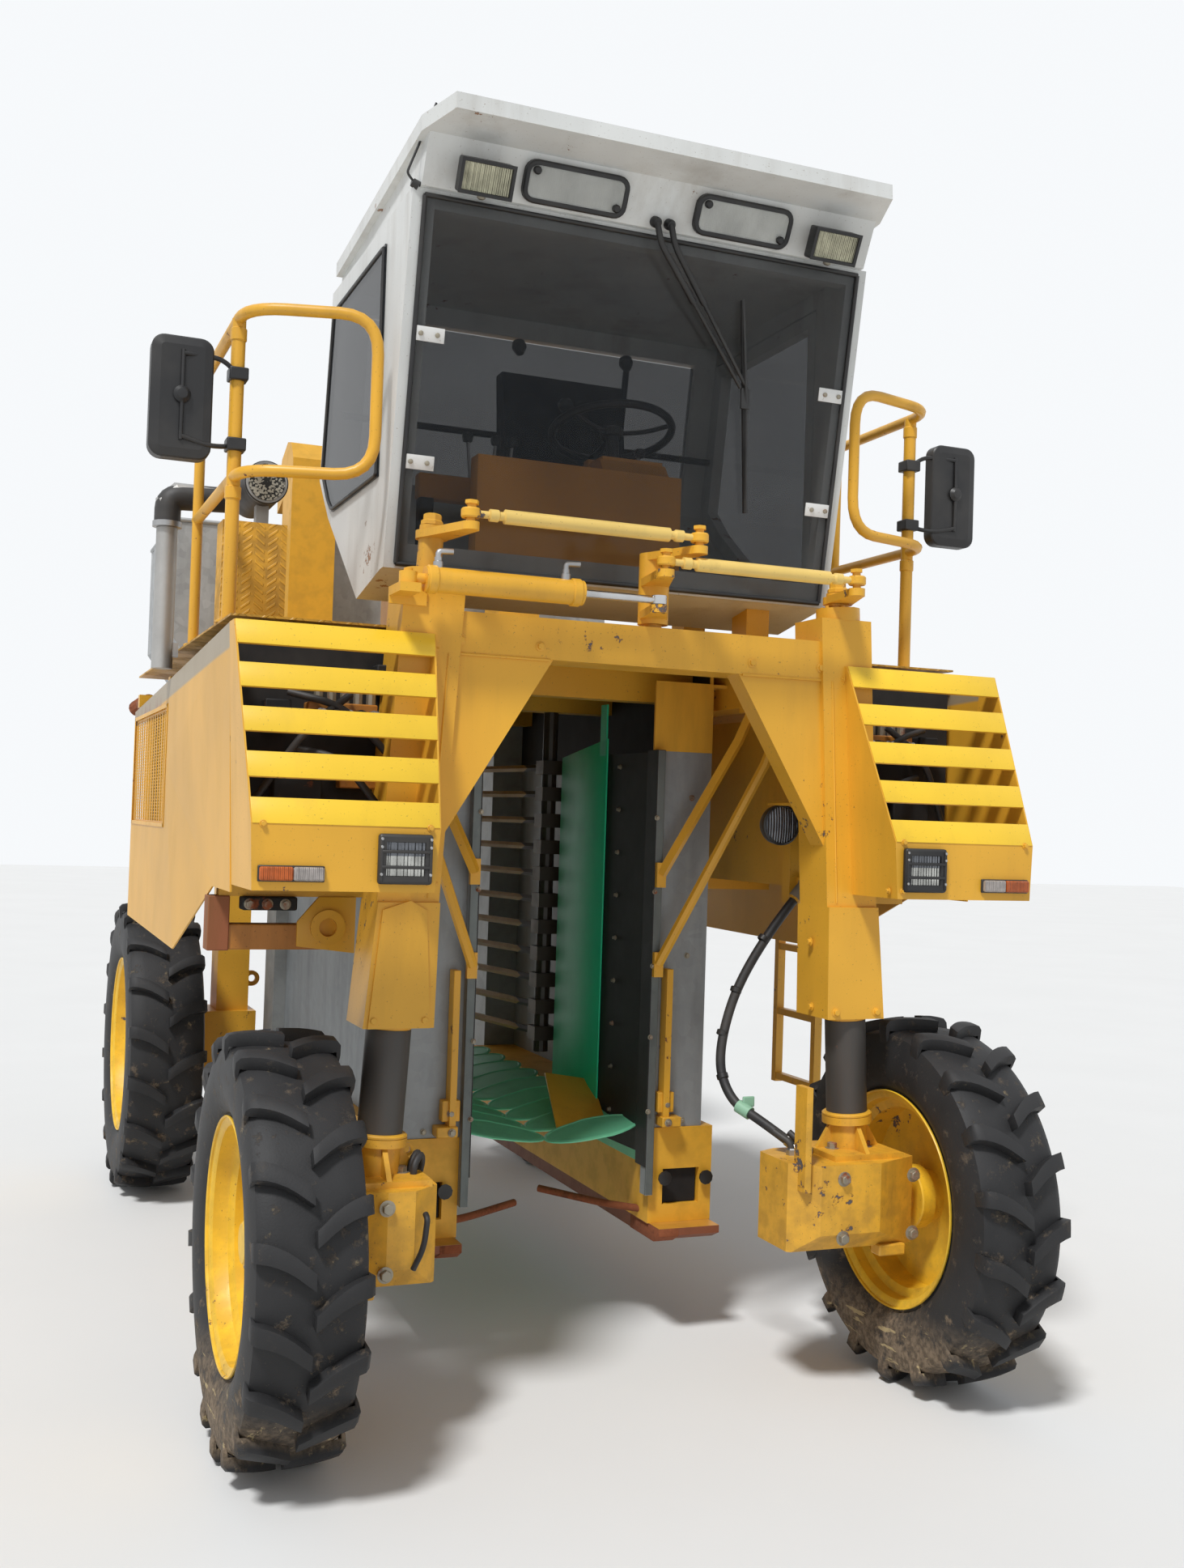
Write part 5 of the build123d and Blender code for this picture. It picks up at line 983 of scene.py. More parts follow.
class HARVESTER_OT_lamps(bpy.types.Operator):
    """Model the head lamps, indicators, roof lamps and work lamps"""
    bl_idname = "harvester.lamps"
    bl_label = "Lamps"

    @staticmethod
    def head_lamp():
        """Right head lamp: housing, ribbed lens, guard bars and screws."""
        x, z, front = 766, 1561, -330

        def part(finish, half_w, ys, low, high, bevel, segments=2):
            return box(finish, (x - half_w, x + half_w), ys, (z + low, z + high), bevel, segments)

        house = part("black", 70, (front + 4, POD_FACE_Y), -63, 63, 0.008, 3)
        with editing(house) as mesh:
            choose(house, mesh, lambda face: face.normal.y < -0.9 and face.calc_area() > 0.005)
            bpy.ops.mesh.inset(thickness=0.012, depth=-0.002)
            bpy.ops.mesh.inset(thickness=0.003, depth=-0.010)
        pieces = [house, part("lens", 54, (front + 12, front + 20), -47, 47, 0.004),
                  plate("smoked lens", rectangle((x - 54, front + 10, z + 8),
                                                 (x + 54, front + 10, z + 47)), run(0, 4, 0))]
        for dx in (-63, 63):
            for dz in (-38, 30, 50):
                pieces.append(stud(at(x + dx, front + 4, z + dz), FORWARD, 0.008, 0.003,
                                   washer=False, finish="steel"))
            pieces.append(box("black", (x + dx - 4, x + dx + 4), (front + 1, front + 6),
                              (z - 56, z + 56)))
        for dz in (-20, 19):
            pieces.append(part("black", 62, (front, front + 7), dz - 4, dz + 4, 0.002))
        return pieces

    @staticmethod
    def indicator():
        """Right indicator: clear half inwards, amber half outwards."""
        return [box("black", (966, 1130), (-313, POD_FACE_Y), (1500, 1540), 0.003),
                box("clear", (969, 1044), (-325, -312), (1503, 1537), 0.005, 3),
                box("amber", (1045, 1127), (-325, -312), (1503, 1537), 0.005, 3)]

    @staticmethod
    def roof_lamp(x):
        house = block("black", (-0.074, -0.046, 0), (0.074, 0.046, 0.055), 0.006)
        with editing(house) as mesh:
            choose(house, mesh, lambda face: face.normal.z > 0.9 and face.calc_area() > 0.005)
            bpy.ops.transform.resize(value=(1.14, 1.16, 1))
            bpy.ops.mesh.inset(thickness=0.009, depth=0)
            bpy.ops.mesh.inset(thickness=0.002, depth=-0.008)
        lens = block("work lens", (-0.072, -0.043, 0.044), (0.072, 0.043, 0.049), 0.003)
        foot = block("black", (-0.012, -0.012, -0.0315), (0.012, 0.012, 0.003), 0.002)
        nut = turned("bolt", [(0.0, 0), (0.012, 0), (0.012, 0.008), (0.006, 0.012), (0.0, 0.012)],
                     (0, -0.046, 0.02), FORWARD, 12)
        return moved([house, lens, foot, nut], stood_on_fascia(x, 52, 32))

    @staticmethod
    def work_lamp():
        """Right round work lamp behind the leg, on its arm."""
        centre = at(618, 262, 1680)
        return [turned("black", [(0.0, 0.072), (0.030, 0.070), (0.050, 0.055), (0.062, 0.03),
                                 (0.065, 0.006), (0.065, 0.0), (0.059, -0.003), (0.057, 0.004),
                                 (0.0, 0.004)], centre, REARWARD, 40),
                turned("smoked lens", [(0.0, -0.004), (0.03, -0.002), (0.058, 0.003)], centre,
                       REARWARD, 32),
                box("body", (593, 643), (100.4, 315), (1741, 1750)),
                box("body", (593, 643), (100.4, 110), (1690, 1750))]

    def execute(self, context):
        paired(joined("lamps_right", self.head_lamp() + self.indicator()), "front_lamps")
        for sign, side in SIDES:
            mounted(f"roof_lamp_{side}", self.roof_lamp(sign * 544),
                    node="roof_lamps")
        paired(joined("work_lamp_right", self.work_lamp()), "work_lamps")
        return {"FINISHED"}


class HARVESTER_OT_cab_fittings(bpy.types.Operator):
    """Model the vents, wipers, clips, seals, rear pane, door handle and aerial of the cab"""
    bl_idname = "harvester.cab_fittings"
    bl_label = "Cab fittings"

    # The windscreen's foot and head, as y and z in millimetres
    SCREEN_FOOT, SCREEN_HEAD = Vector((200, 2370)), Vector((16.4, 3390))
    SCREEN_OUT = Vector((0, -0.984, -0.177))
    # Distance between the vent's wires, in metres
    WIRE_PITCH = 0.00613

    def on_screen(self, x, z, ahead):
        """Point on the windscreen's outer face."""
        foot, climb = self.SCREEN_FOOT, self.SCREEN_HEAD - self.SCREEN_FOOT
        lean = climb.normalized()
        place = foot + climb * (z - foot.y) / climb.y + Vector((-lean.y, lean.x)) * (6.3 + ahead)
        return at(x, place.x, place.y)

    @staticmethod
    def rounded_loop(half_w, half_h, radius):
        loop = []
        for cx, cy, start in ((1, 1, 0), (-1, 1, 90), (-1, -1, 180), (1, -1, 270)):
            for step in range(6):
                a = math.radians(start + step * 18)
                loop.append(Vector((cx * (half_w - radius) + radius * math.cos(a),
                                    cy * (half_h - radius) + radius * math.sin(a), 0)))
        return loop

    def vent(self, x):
        ring = plate("black", self.rounded_loop(0.157, 0.058, 0.035), (0, 0, 0.016))
        with editing(ring) as mesh:
            choose(ring, mesh, lambda face: face.normal.z > 0.9)
            bpy.ops.mesh.inset(thickness=0.004, depth=0.003)
            bpy.ops.mesh.inset(thickness=0.010, depth=0.0)
            bpy.ops.mesh.inset(thickness=0.001, depth=-0.006)
        gauze = plate("gauze", self.rounded_loop(0.143, 0.044, 0.022), (0, 0, 0.0015))
        gauze.data.transform(Matrix.Translation((0, 0, 0.0135)))
        wire = block("gauze", (-0.0005, -0.043, 0.0152), (0.0005, 0.043, 0.0162), 0)
        weft = block("gauze", (-0.142, -0.0005, 0.0152), (0.142, 0.0005, 0.0162), 0)
        pieces = [ring, gauze]
        pieces += spread(wire, [Matrix.Translation((-0.138 + i * self.WIRE_PITCH, 0, 0))
                                for i in range(46)])
        pieces += spread(weft, [Matrix.Translation((0, -0.040 + i * self.WIRE_PITCH, 0))
                                for i in range(14)])
        for kx, ky in ((-0.125, 0.03), (0.125, -0.03)):
            pieces.append(turned("black", [(0.0, 0.014), (0.011, 0.014), (0.0115, 0.026),
                                           (0.008, 0.030), (0.0, 0.031)], (kx, ky, 0), UP, 16))
        return moved(pieces, stood_on_fascia(x, 66, 0.4))

    def wiper(self):
        """Twin arms from one pivot to a blade that leans on the glass."""
        pieces = []
        for dx in (-22, 22):
            base = on_fascia(15 + dx, 20, 0)
            pieces.append(turned("black", [(0.0, 0.0004), (0.016, 0.0004), (0.016, 0.018),
                                           (0.011, 0.026), (0.0, 0.028)], base, FASCIA_OUT, 20))
            start = base + FASCIA_OUT * 0.024
            bend, end = start + run(10, -6, -60), self.on_screen(330 + dx / 2, 2990, 26)
            pieces += [tube("black", [start, bend, end], 0.0055, 0.03, 2),
                       tube("black", [start, bend, bend.lerp(end, 0.4)], 0.0095, 0.03, 3)]
        top, low = self.on_screen(300, 3240, 10), self.on_screen(385, 2630, 10)
        side = (low - top).normalized().cross(REARWARD).normalized() * 0.006
        pieces.append(plate("black", [top - side, low - side, low + side, top + side],
                            run(0, -12, 0), 0.002))
        bow = [self.on_screen(*spot) for spot in ((325, 3060, 30), (343, 2930, 34),
                                                  (360, 2800, 30))]
        pieces.append(tube("black", [top + run(0, -10, 0), *bow, low + run(0, -10, 0)], 0.004,
                           0.04, 2))
        pieces.append(block("black", self.on_screen(322, 2930, 36) - run(0, 4, 0),
                            self.on_screen(350, 2990, 20), 0.002))
        return pieces

    def clip(self, x, z):
        """White clip over the screen's edge, with two studs."""
        a, b = self.on_screen(x - 45, z - 20, 0.6), self.on_screen(x + 45, z + 20, 0.6)
        corners = [a, Vector((b.x, a.y, a.z)), b, Vector((a.x, b.y, b.z))]
        outline = [(0.0, 0.004), (0.007, 0.004), (0.007, 0.008), (0.004, 0.0095), (0.0, 0.0095)]
        return [plate("clip", corners, self.SCREEN_OUT * 0.004, 0.0015),
                *(turned("bolt", outline, self.on_screen(x + dx, z, 0.6), self.SCREEN_OUT, 12)
                  for dx in (-24, 24))]

    def seals(self):
        """Black seals round the windscreen and in the side window."""
        for x in (-686, 686):
            yield tube("black", [self.on_screen(x, z, 1) for z in (2385, 3370)], 0.007, 0, 2)
        for z in (2383, 3372):
            yield tube("black", [self.on_screen(x, z, 1) for x in (-686, 686)], 0.007, 0, 2)
        window = [at(-727, y, z) for y, z in ((290, 2650), (290, 3310), (935, 3310), (1030, 2800),
                                              (930, 2690), (870, 2650))]
        yield tube("black", window + window[:2], 0.006, 0.02, 2)

    @staticmethod
    def rear_window():
        """Rear pane, held in its opening, with posts, hooks and a bar inside."""
        lean = run(0, -141.4, 815).normalized()
        back = Vector((0, lean.z, -lean.y))
        sill = at(0, 1098, 2785) - back * 0.02
        low, high = sill + lean * 0.012, sill + lean * 0.548
        pane = [low + run(-600, 0, 0), low + run(600, 0, 0), high + run(600, 0, 0),
                high + run(-600, 0, 0)]
        mounted("rear_pane", [plate("pane", pane, back * 0.005)])
        posts = [tube("dark", [low + run(x, -25, 0), high + run(x, -25, 0)], 0.012, 0, 2)
                 for x in (-430, 330)]
        posts += [turned("black", [(0.0, 0), (0.022, 0.0), (0.026, 0.02), (0.014, 0.045),
                                   (0.0, 0.05)], at(x, 955, 3310), (0, -0.4, -1), 12)
                  for x in (-480, -80, 320)]
        posts.append(tube("dark", [at(-670, 975, 2985), at(670, 975, 2985)], 0.012, 0, 2))
        mounted("rear_posts", posts)

    def execute(self, context):
        for sign, side in SIDES:
            mounted(f"vent_{side}", self.vent(sign * 264), node="cab_vents")
        mounted("wiper", self.wiper(), node="wipers")
        clips = [part for x in (-644, 644) for z in (3010, 2665) for part in self.clip(x, z)]
        mounted("clips", clips, node="screen_clips")
        mounted("seals", list(self.seals()))
        self.rear_window()
        aerial = [tube("black", [at(-712, 20, 3396), at(-740, 10, 3420), at(-668, -4, 3620)],
                       0.0035, 0.01, 2),
                  turned("black", [(0.0, 0), (0.014, 0), (0.012, 0.02), (0.0, 0.024)],
                         at(-704, 20, 3392), (-1, 0, 0.5), 14)]
        mounted("aerial", aerial)
        handle = [box("black", (720.5, 724), (268, 288), (2760, 2880), 0.0015),
                  tube("black", [at(723, 278, 2780), at(752, 278, 2785), at(752, 278, 2860),
                                 at(723, 278, 2865)], 0.006, 0.015, 2)]
        mounted("door_handle", handle, "door")
        return {"FINISHED"}


class HARVESTER_OT_cab_inside(bpy.types.Operator):
    """Model the steering wheel, levers and console boxes in the cab"""
    bl_idname = "harvester.cab_inside"
    bl_label = "Cab inside"

    @staticmethod
    def hand_wheel():
        centre, axis = at(60, 430, 2900), Vector((0, 0.24, 0.97)).normalized()
        clear()
        bpy.ops.mesh.primitive_torus_add(major_radius=0.19, minor_radius=0.0125,
                                         major_segments=64, minor_segments=12)
        pieces = [settle(bpy.context.object, "black", 60),
                  turned("black", [(0.0, -0.02), (0.034, -0.02), (0.038, -0.008),
                                   (0.038, 0.004), (0.026, 0.012), (0.0, 0.014)],
                         (0, 0, 0), UP, 28)]
        for turn in (90, 210, 330):
            a = math.radians(turn)
            reach = Vector((math.cos(a), math.sin(a), 0))
            spoke = [reach * 0.02 - UP * 0.006, reach * 0.10 - UP * 0.014, reach * 0.188]
            pieces.append(tube("black", spoke, 0.0075, 0.05, 2))
        pieces.append(turned("black", [(0.0, 0.0), (0.010, 0.0), (0.010, 0.018), (0.022, 0.026),
                                       (0.024, 0.045), (0.015, 0.056), (0.0, 0.058)],
                             (-0.178, -0.062, 0), UP, 20))
        moved(pieces, facing(centre, axis))
        pieces.append(tube("black", [centre - axis * 0.01, at(60, 405, 2798)], 0.020, 0, 4))
        return pieces

    def execute(self, context):
        mounted("hand_wheel", self.hand_wheel(), node="steering_wheel")
        gear = [box("dash", (-549, -20), (470, 520), (2636, 2714), 0.006),
                box("dash", (-30, 70), (398, 440), (2740, 2800), 0.006),
                box("dash", (80, 230), (398, 450), (2736, 2770), 0.006),
                box("dark", (-545, -500), (470, 512), (2440, 2640), 0.004)]
        ball = [(0.0, -0.018), (0.014, -0.014), (0.018, 0.0), (0.014, 0.012), (0.0, 0.017)]
        for x, y, foot, lean in ((-380, 492, 2700, -20), (-320, 492, 2700, 12),
                                 (-260, 492, 2700, 5), (130, 420, 2765, 16)):
            gear += [tube("steel", [at(x, y, foot), at(x + lean, y - 20, 2830)], 0.005, 0, 2),
                     turned("black", ball, at(x + lean, y - 20, 2838), UP, 16)]
        mounted("console_gear", gear)
        return {"FINISHED"}


class HARVESTER_OT_handrails(bpy.types.Operator):
    """Bend the handrails with their masts, and model the mirrors on their arms"""
    bl_idname = "harvester.handrails"
    bl_label = "Handrails and mirrors"

    # X of the rail's outer run, y of its mast and the height of the deck
    OUTER_X, MAST_Y, DECK_Z = 1120, 360, 2197

    def rail(self, end_y, r):
        x, front_y, top, mid, inner = self.OUTER_X, 140, 3060, 2610, 770
        loop = [at(x, end_y, top), at(x, front_y + 100, top), at(inner, front_y, top),
                at(inner, front_y, mid), at(x, front_y + 100, mid), at(x, end_y, mid)]
        post_y = end_y - 20
        pieces = [tube("rail", loop, r, 0.11, 4)]
        for y, thick, foot in ((self.MAST_Y, r + 0.003, 0.036), (post_y, r, 0.030)):
            pieces += [tube("rail", [at(x, y, self.DECK_Z), at(x, y, top)], thick, 0, 4),
                       turned("rail", [(0.0, 0), (foot, 0), (foot, 0.006), (foot - 0.006, 0.009),
                                       (0.0, 0.01)], at(x, y, self.DECK_Z - 0.5), UP, 20)]
        for z in (mid, top):
            pieces.append(turned("rail", [(r + 0.002, -0.02), (r + 0.006, -0.016),
                                          (r + 0.006, 0.016), (r + 0.002, 0.02)],
                                 at(x, self.MAST_Y, z - 45), UP, 20))
        return pieces

    def mirror(self):
        """Right mirror: rounded shell with a rolled edge, its glass, loop and clamp arms."""
        x0, x1, z0, z1, y0 = 1190, 1360, 2640, 2980, 328
        shell = box("black", (x0, x1), (y0, y0 + 40), (z0, z1), 0)
        with editing(shell) as mesh:
            choose(shell, mesh, lambda e: abs(e.verts[0].co.y - e.verts[1].co.y) > 0.03, "EDGE")
            bpy.ops.mesh.bevel(offset=0.036, segments=6, affect="EDGES")
            choose(shell, mesh, lambda f: f.normal.y < -0.9)
            bpy.ops.mesh.inset(thickness=0.004, depth=0)
            bpy.ops.transform.translate(value=(0, -0.004, 0))
            bpy.ops.mesh.inset(thickness=0.022, depth=0.006)
            choose(shell, mesh, lambda f: f.normal.y > 0.9)
            bpy.ops.mesh.inset(thickness=0.008, depth=0)
            bpy.ops.mesh.inset(thickness=0.001, depth=-0.004)
        pieces = [shell, box("mirror", (x0 + 12, x1 - 12), (y0 + 36.5, y0 + 38.5),
                             (z0 + 12, z1 - 12), 0.001)]
        for points, radius, corner in (
                (((1120, 351, 2900), (1165, 340, 2935), (1275, 316, 2930)), 0.007, 0.04),
                (((1120, 351, 2700), (1150, 345, 2690), (1200, 322, 2682), (1275, 316, 2700)),
                 0.007, 0.03),
                (((1275, 316, 2940), (1275, 312, 2820), (1275, 316, 2690)), 0.006, 0.02)):
            pieces.append(tube("black", [at(*p) for p in points], radius, corner, 3))
        pieces.append(turned("black", [(0.0, 0), (0.02, 0), (0.024, 0.012), (0.014, 0.022),
                                       (0.0, 0.024)], at(1275, 322, 2815), FORWARD, 18))
        return pieces + [box("black", (1092, 1146), (330, 386), (z - 18, z + 18), 0.004)
                         for z in (2900, 2700)]

    def execute(self, context):
        radius = context.scene.harvester_sizes.rail_radius
        mirror = joined("mirror_right", self.mirror())
        for (sign, side), end_y in zip(SIDES, (850, 1090)):
            rail = sided(joined("rail", self.rail(end_y, radius)), sign)
            mounted(f"rail_{side}", [rail], node=f"handrail_{side}")
        paired(mirror, "mirrors")
        return {"FINISHED"}


class HARVESTER_OT_steering(bpy.types.Operator):
    """Model the tie rods, ball joints, cylinder fittings and kingpin covers"""
    bl_idname = "harvester.steering"
    bl_label = "Steering linkage"

    # Y and height of the cylinder's line, and the ring of bolts on a kingpin's cap
    CYLINDER_Y, CYLINDER_Z = -150, 2292
    CAP_BOLTS, CAP_BOLT_R = 6, 46

    @staticmethod
    def tie_rod(x0, x1, z):
        """Round rod with threaded ends and two eyes; the pins pass through the eyes."""
        y, mid, length = -190, z + 23, (x1 - x0) / 1000
        end = [(0.0, 0.022), (0.010, 0.022), (0.010, 0.05), (0.0165, 0.052), (0.0165, 0.075),
               (0.012, 0.080), (0.012, 0.090), (0.0195, 0.094)]
        outline = end + [(r, length - h) for r, h in reversed(end)]
        pieces = [turned("rod", outline, at(x0, y, mid), OUTWARD, 24)]
        for x in (x0, x1):
            pieces.append(turned("hub", [(0.0145, -0.013), (0.023, -0.013), (0.026, -0.009),
                                         (0.026, 0.009), (0.023, 0.013), (0.0145, 0.013)],
                                 at(x, y, mid), UP, 28, closed=True))
        return pieces

    def barrel_fittings(self):
        """Clamp bands, ports and pipe stubs of the cylinder's barrel."""
        y, z = self.CYLINDER_Y, self.CYLINDER_Z
        for x in (-285, -690):
            yield turned("rail", [(0.0345, 0), (0.038, 0.003), (0.038, 0.024), (0.0345, 0.028)],
                         at(x, y, z), OUTWARD, 32)
        for x in (-300, -660):
            yield turned("steel", [(0.0, 0.03), (0.013, 0.03), (0.013, 0.048), (0.010, 0.050),
                                   (0.010, 0.060), (0.0, 0.062)], at(x, y, z), UP, 12)
            yield tube("steel", [at(x, y, z + 58), at(x, y, z + 76), at(x + 40, y, z + 78)],
                       0.008, 0.015, 3)

    def execute(self, context):
        left_x, right_x = -king_x(KING_TOP["left"]), king_x(KING_TOP["right"])
        for side, x0, x1 in (("left", left_x + 50, 80), ("right", -20, right_x - 50)):
            mounted(f"tie_rod_fine_{side}", self.tie_rod(x0, x1, KING_TOP[side]),
                    f"tie_rod_{side}", f"tie_rod_{side}")
        mounted("barrel_fittings", list(self.barrel_fittings()), "steer_barrel")
        for sign, side in SIDES:
            lean, top = king_lean(sign), KING_TOP[side]
            nut = turned("hub", [(0.0, 0.002), (0.032, 0.002), (0.032, 0.012), (0.026, 0.016),
                                 (0.026, 0.030), (0.020, 0.034), (0.0, 0.035)],
                         at(sign * king_x(top), 0, top + 14), lean, 8, angle=20)
            mounted(f"king_nut_{side}", [nut], f"steer_{side}")
            cap = at(sign * king_x(KING_CAP_Z), 0, KING_CAP_Z)
            ring = []
            for i in range(self.CAP_BOLTS):
                a = i * 2 * math.pi / self.CAP_BOLTS + 0.3
                ring.append((cap + run(self.CAP_BOLT_R * math.cos(a),
                                       self.CAP_BOLT_R * math.sin(a), -4), lean))
            bolted(f"king_cap_bolts_{side}", ring, 0.014, "hub")
        return {"FINISHED"}


class HARVESTER_OT_motor_gear(bpy.types.Operator):
    """Model the column boots, motor fittings and plate bolts of the knuckles"""
    bl_idname = "harvester.motor_gear"
    bl_label = "Motor gear"

    # Top of the motor boxes and y of their front faces
    BOX_TOP, BOX_FACE_Y = 700, -175

    def execute(self, context):
        for (sign, side), inner, hoses in zip(SIDES, (465, 592),
                                              (self.right_hoses, self.left_hoses)):
            low, lean = at(sign * king_x(812.5), 0, 812.5), king_lean(sign)
            pieces = [turned("column", [(0.0604, 0.0), (0.0612, 0.001), (0.0612, 0.286),
                                        (0.0604, 0.287)], low, lean, 48),
                      turned("hub", [(0.061, 0), (0.074, 0.001), (0.0745, 0.006), (0.070, 0.010),
                                     (0.061, 0.011)], low, lean, 40)]
            spots = [(at(sign * x, self.BOX_FACE_Y, z), FORWARD)
                     for x in (inner + 150, 850) for z in (660, 490)]
            spots += [(at(sign * (725 + dx), -20, 716), UP) for dx in (-60, 55)]
            pieces += [stud(*spot, 0.03, 0.014) for spot in spots]
            pieces.append(box("hub", (760, 850), (-146, -96), (418, 452), 0.005, sign=sign))
            mounted(f"motor_gear_{side}", pieces + hoses(), f"steer_{side}")
        return {"FINISHED"}

    def right_hoses(self):
        """Fittings that stand on the right box, where the hoses end."""
        pieces = []
        for dx, dy, bend in ((0, 0, 40), (32, 14, 28), (-30, 10, 54)):
            foot = at(560 + dx, -20 + dy, self.BOX_TOP)
            pieces += [tube("hose", [foot, foot + run(0, 0, 34),
                                     foot + run(-bend * 0.6, bend * 0.9, 62)], 0.010, 0.03, 3),
                       turned("steel", [(0.0, 0), (0.015, 0), (0.015, 0.016), (0.012, 0.02),
                                        (0.0, 0.02)], foot, UP, 6, angle=20)]
        return pieces

    def left_hoses(self):
        """Two hose loops on the left box, the pipe on its face and the lifting eye."""
        pieces = []
        for y in (-50, -20):
            foot = at(-640, y, self.BOX_TOP)
            pieces.append(tube("hose", [foot, foot + run(0, 0, 40), foot + run(24, 20, 66),
                                        foot + run(34, 40, 40), foot + run(30, 52, 3)],
                               0.010, 0.03, 3))
        pieces += [tube("hose", [at(-640, -176, 640), at(-640, -196, 632), at(-648, -198, 560),
                                 at(-668, -176, 500)], 0.008, 0.03, 3),
                   turned("body", [(0.010, -0.004), (0.018, -0.004), (0.018, 0.004),
                                   (0.010, 0.004)], at(-645, 10, 770), REARWARD, 24,
                          closed=True)]
        return pieces


class HARVESTER_OT_pod_gear(bpy.types.Operator):
    """Model the slats' newer faces and the valves and pipes that show behind them"""
    bl_idname = "harvester.pod_gear"
    bl_label = "Pod gear"

    # Height of the pod's foot and head, and x of its inner and outer edge there
    FOOT_Z, HEAD_Z = 1478, 2158
    INNER, OUTER = (684, 637), (1142, 1171)
    SLATS, SLAT_HEIGHT = 5, 68

    def pod_x(self, z, edge):
        foot, head = edge
        return foot + (head - foot) * (z - self.FOOT_Z) / (self.HEAD_Z - self.FOOT_Z)

    def slats(self, sign):
        """Bright faces 0.4 mm in front of each slat, with turned-in edges."""
        low, high = Vector((-305, 1641)), Vector((-72, 2158))
        climb = (high - low).normalized()
        pitch = ((high - low).length - self.SLAT_HEIGHT) / (self.SLATS - 1)
        out = Vector((-climb.y, climb.x))
        faces = []
        for i in range(self.SLATS):
            corners = []
            foot, head = i * pitch - 0.5, i * pitch + self.SLAT_HEIGHT + 0.5
            for step, edge, inset in ((foot, self.INNER, 3), (foot, self.OUTER, -3),
                                      (head, self.OUTER, -3), (head, self.INNER, 3)):
                y, z = low + climb * step + out * 0.4
                corners.append(at(sign * (self.pod_x(z, edge) + inset), y, z))
            faces.append(plate("slat", corners, run(0, out.x * 2, out.y * 2), 0.0008))
        return faces

    @staticmethod
    def valves():
        """Right bay's valve blocks, their spools and unions, and the pipes between them."""
        # X, y and z of a block's low corner, its size, and its finish
        blocks = ((700, 70, 1740, 150, 60, 80, "valve"), (900, 60, 1700, 130, 70, 60, "engine"),
                  (760, 40, 1905, 190, 60, 62, "valve"), (700, 60, 2010, 60, 60, 70, "engine"),
                  (860, 20, 1600, 110, 60, 80, "valve"), (990, 60, 1880, 70, 60, 90, "engine"))
        pieces = [box(finish, (x, x + w), (y, y + d), (z, z + h), 0.004)
                  for x, y, z, w, d, h, finish in blocks]
        for i in range(5):
            x = 775 + i * 36
            pieces += [turned("black" if i % 2 else "steel",
                              [(0.0, -0.05), (0.011, -0.05), (0.011, -0.03), (0.014, -0.028),
                               (0.014, 0.0)], at(x, 40, 1936), REARWARD, 14),
                       turned("bolt", [(0.0, 0.0), (0.013, 0.0), (0.013, 0.03), (0.008, 0.034),
                                       (0.0, 0.04)], at(x, 60, 1967), UP, 8, angle=20)]
        for x0, z0, x1, z1 in ((720, 1820, 1000, 1990), (760, 1700, 980, 1840),
                               (840, 1990, 1080, 1700), (720, 1600, 1040, 1650)):
            line = [at(x0, 20, z0), at((x0 + x1) / 2, -15, (z0 + z1) / 2 + 50), at(x1, 60, z1)]
            pieces.append(tube("hose", line, 0.010, 0.09, 3))
        return pieces

    def execute(self, context):
        for sign, side in SIDES:
            mounted(f"slat_faces_{side}", self.slats(sign))
            mounted(f"valves_{side}", [sided(joined("valves", self.valves()), sign)])
            # A near-black sheet at the bay's back: painted shade inside the pod
            back = rectangle((sign * 700, 118, 1500), (sign * 1130, 118, 2150))
            mounted(f"bay_back_{side}", [plate("dark", back, run(0, 3, 0))])
            bolts = [(at(sign * x, POD_FACE_Y, z), FORWARD)
                     for x, z in ((700, 1500), (1120, 1640), (700, 1640))]
            bolts += [(at(sign * (self.pod_x(z, self.INNER) - 5.5), y, z), -sign * OUTWARD)
                      for y, z in ((-270, 1500), (-20, 1500), (-60, 2120), (-20, 1820))]
            bolted(f"pod_bolts_{side}", bolts, 0.013, "body")
        return {"FINISHED"}


class HARVESTER_OT_grilles(bpy.types.Operator):
    """Weave the wire mesh in the side covers' windows"""
    bl_idname = "harvester.grilles"
    bl_label = "Grille mesh"

    WINDOW_HEIGHT = 400
    UPRIGHTS, UPRIGHT_PITCH = 17, 62

    def execute(self, context):
        pitch = context.scene.harvester_sizes.mesh_pitch * 1000
        for sign, side in SIDES:
            wires = spread(box("rail", (1160.5, 1162.5), (1240, 2260), (1611, 1613.5), 0),
                           [Matrix.Translation(run(0, 0, i * pitch))
                            for i in range(int(self.WINDOW_HEIGHT / pitch))])
            wires += spread(box("rail", (1162.5, 1164.9), (1254, 1258), (1605, 2020), 0),
                            [Matrix.Translation(run(0, i * self.UPRIGHT_PITCH, 0))
                             for i in range(self.UPRIGHTS)])
            mounted(f"mesh_{side}", [sided(joined("mesh", wires), sign)])
            # A near-black sheet behind the mesh: painted shade inside the cover
            back = rectangle((sign * 1120, 1245, 1600), (sign * 1120, 2255, 2030))
            mounted(f"grille_back_{side}", [plate("dark", back, run(sign * -3, 0, 0))])
            lips = [box("rail", (1170.4, 1173), (1242, 2258), (z, z + 14), 0.001)
                    for z in (1606, 2006)]
            lips += [box("rail", (1170.4, 1173), (y, y + 14), (1606, 2020), 0.001)
                     for y in (1240, 2246)]
            mounted(f"grille_frame_{side}", [sided(joined("lips", lips), sign)])
        return {"FINISHED"}


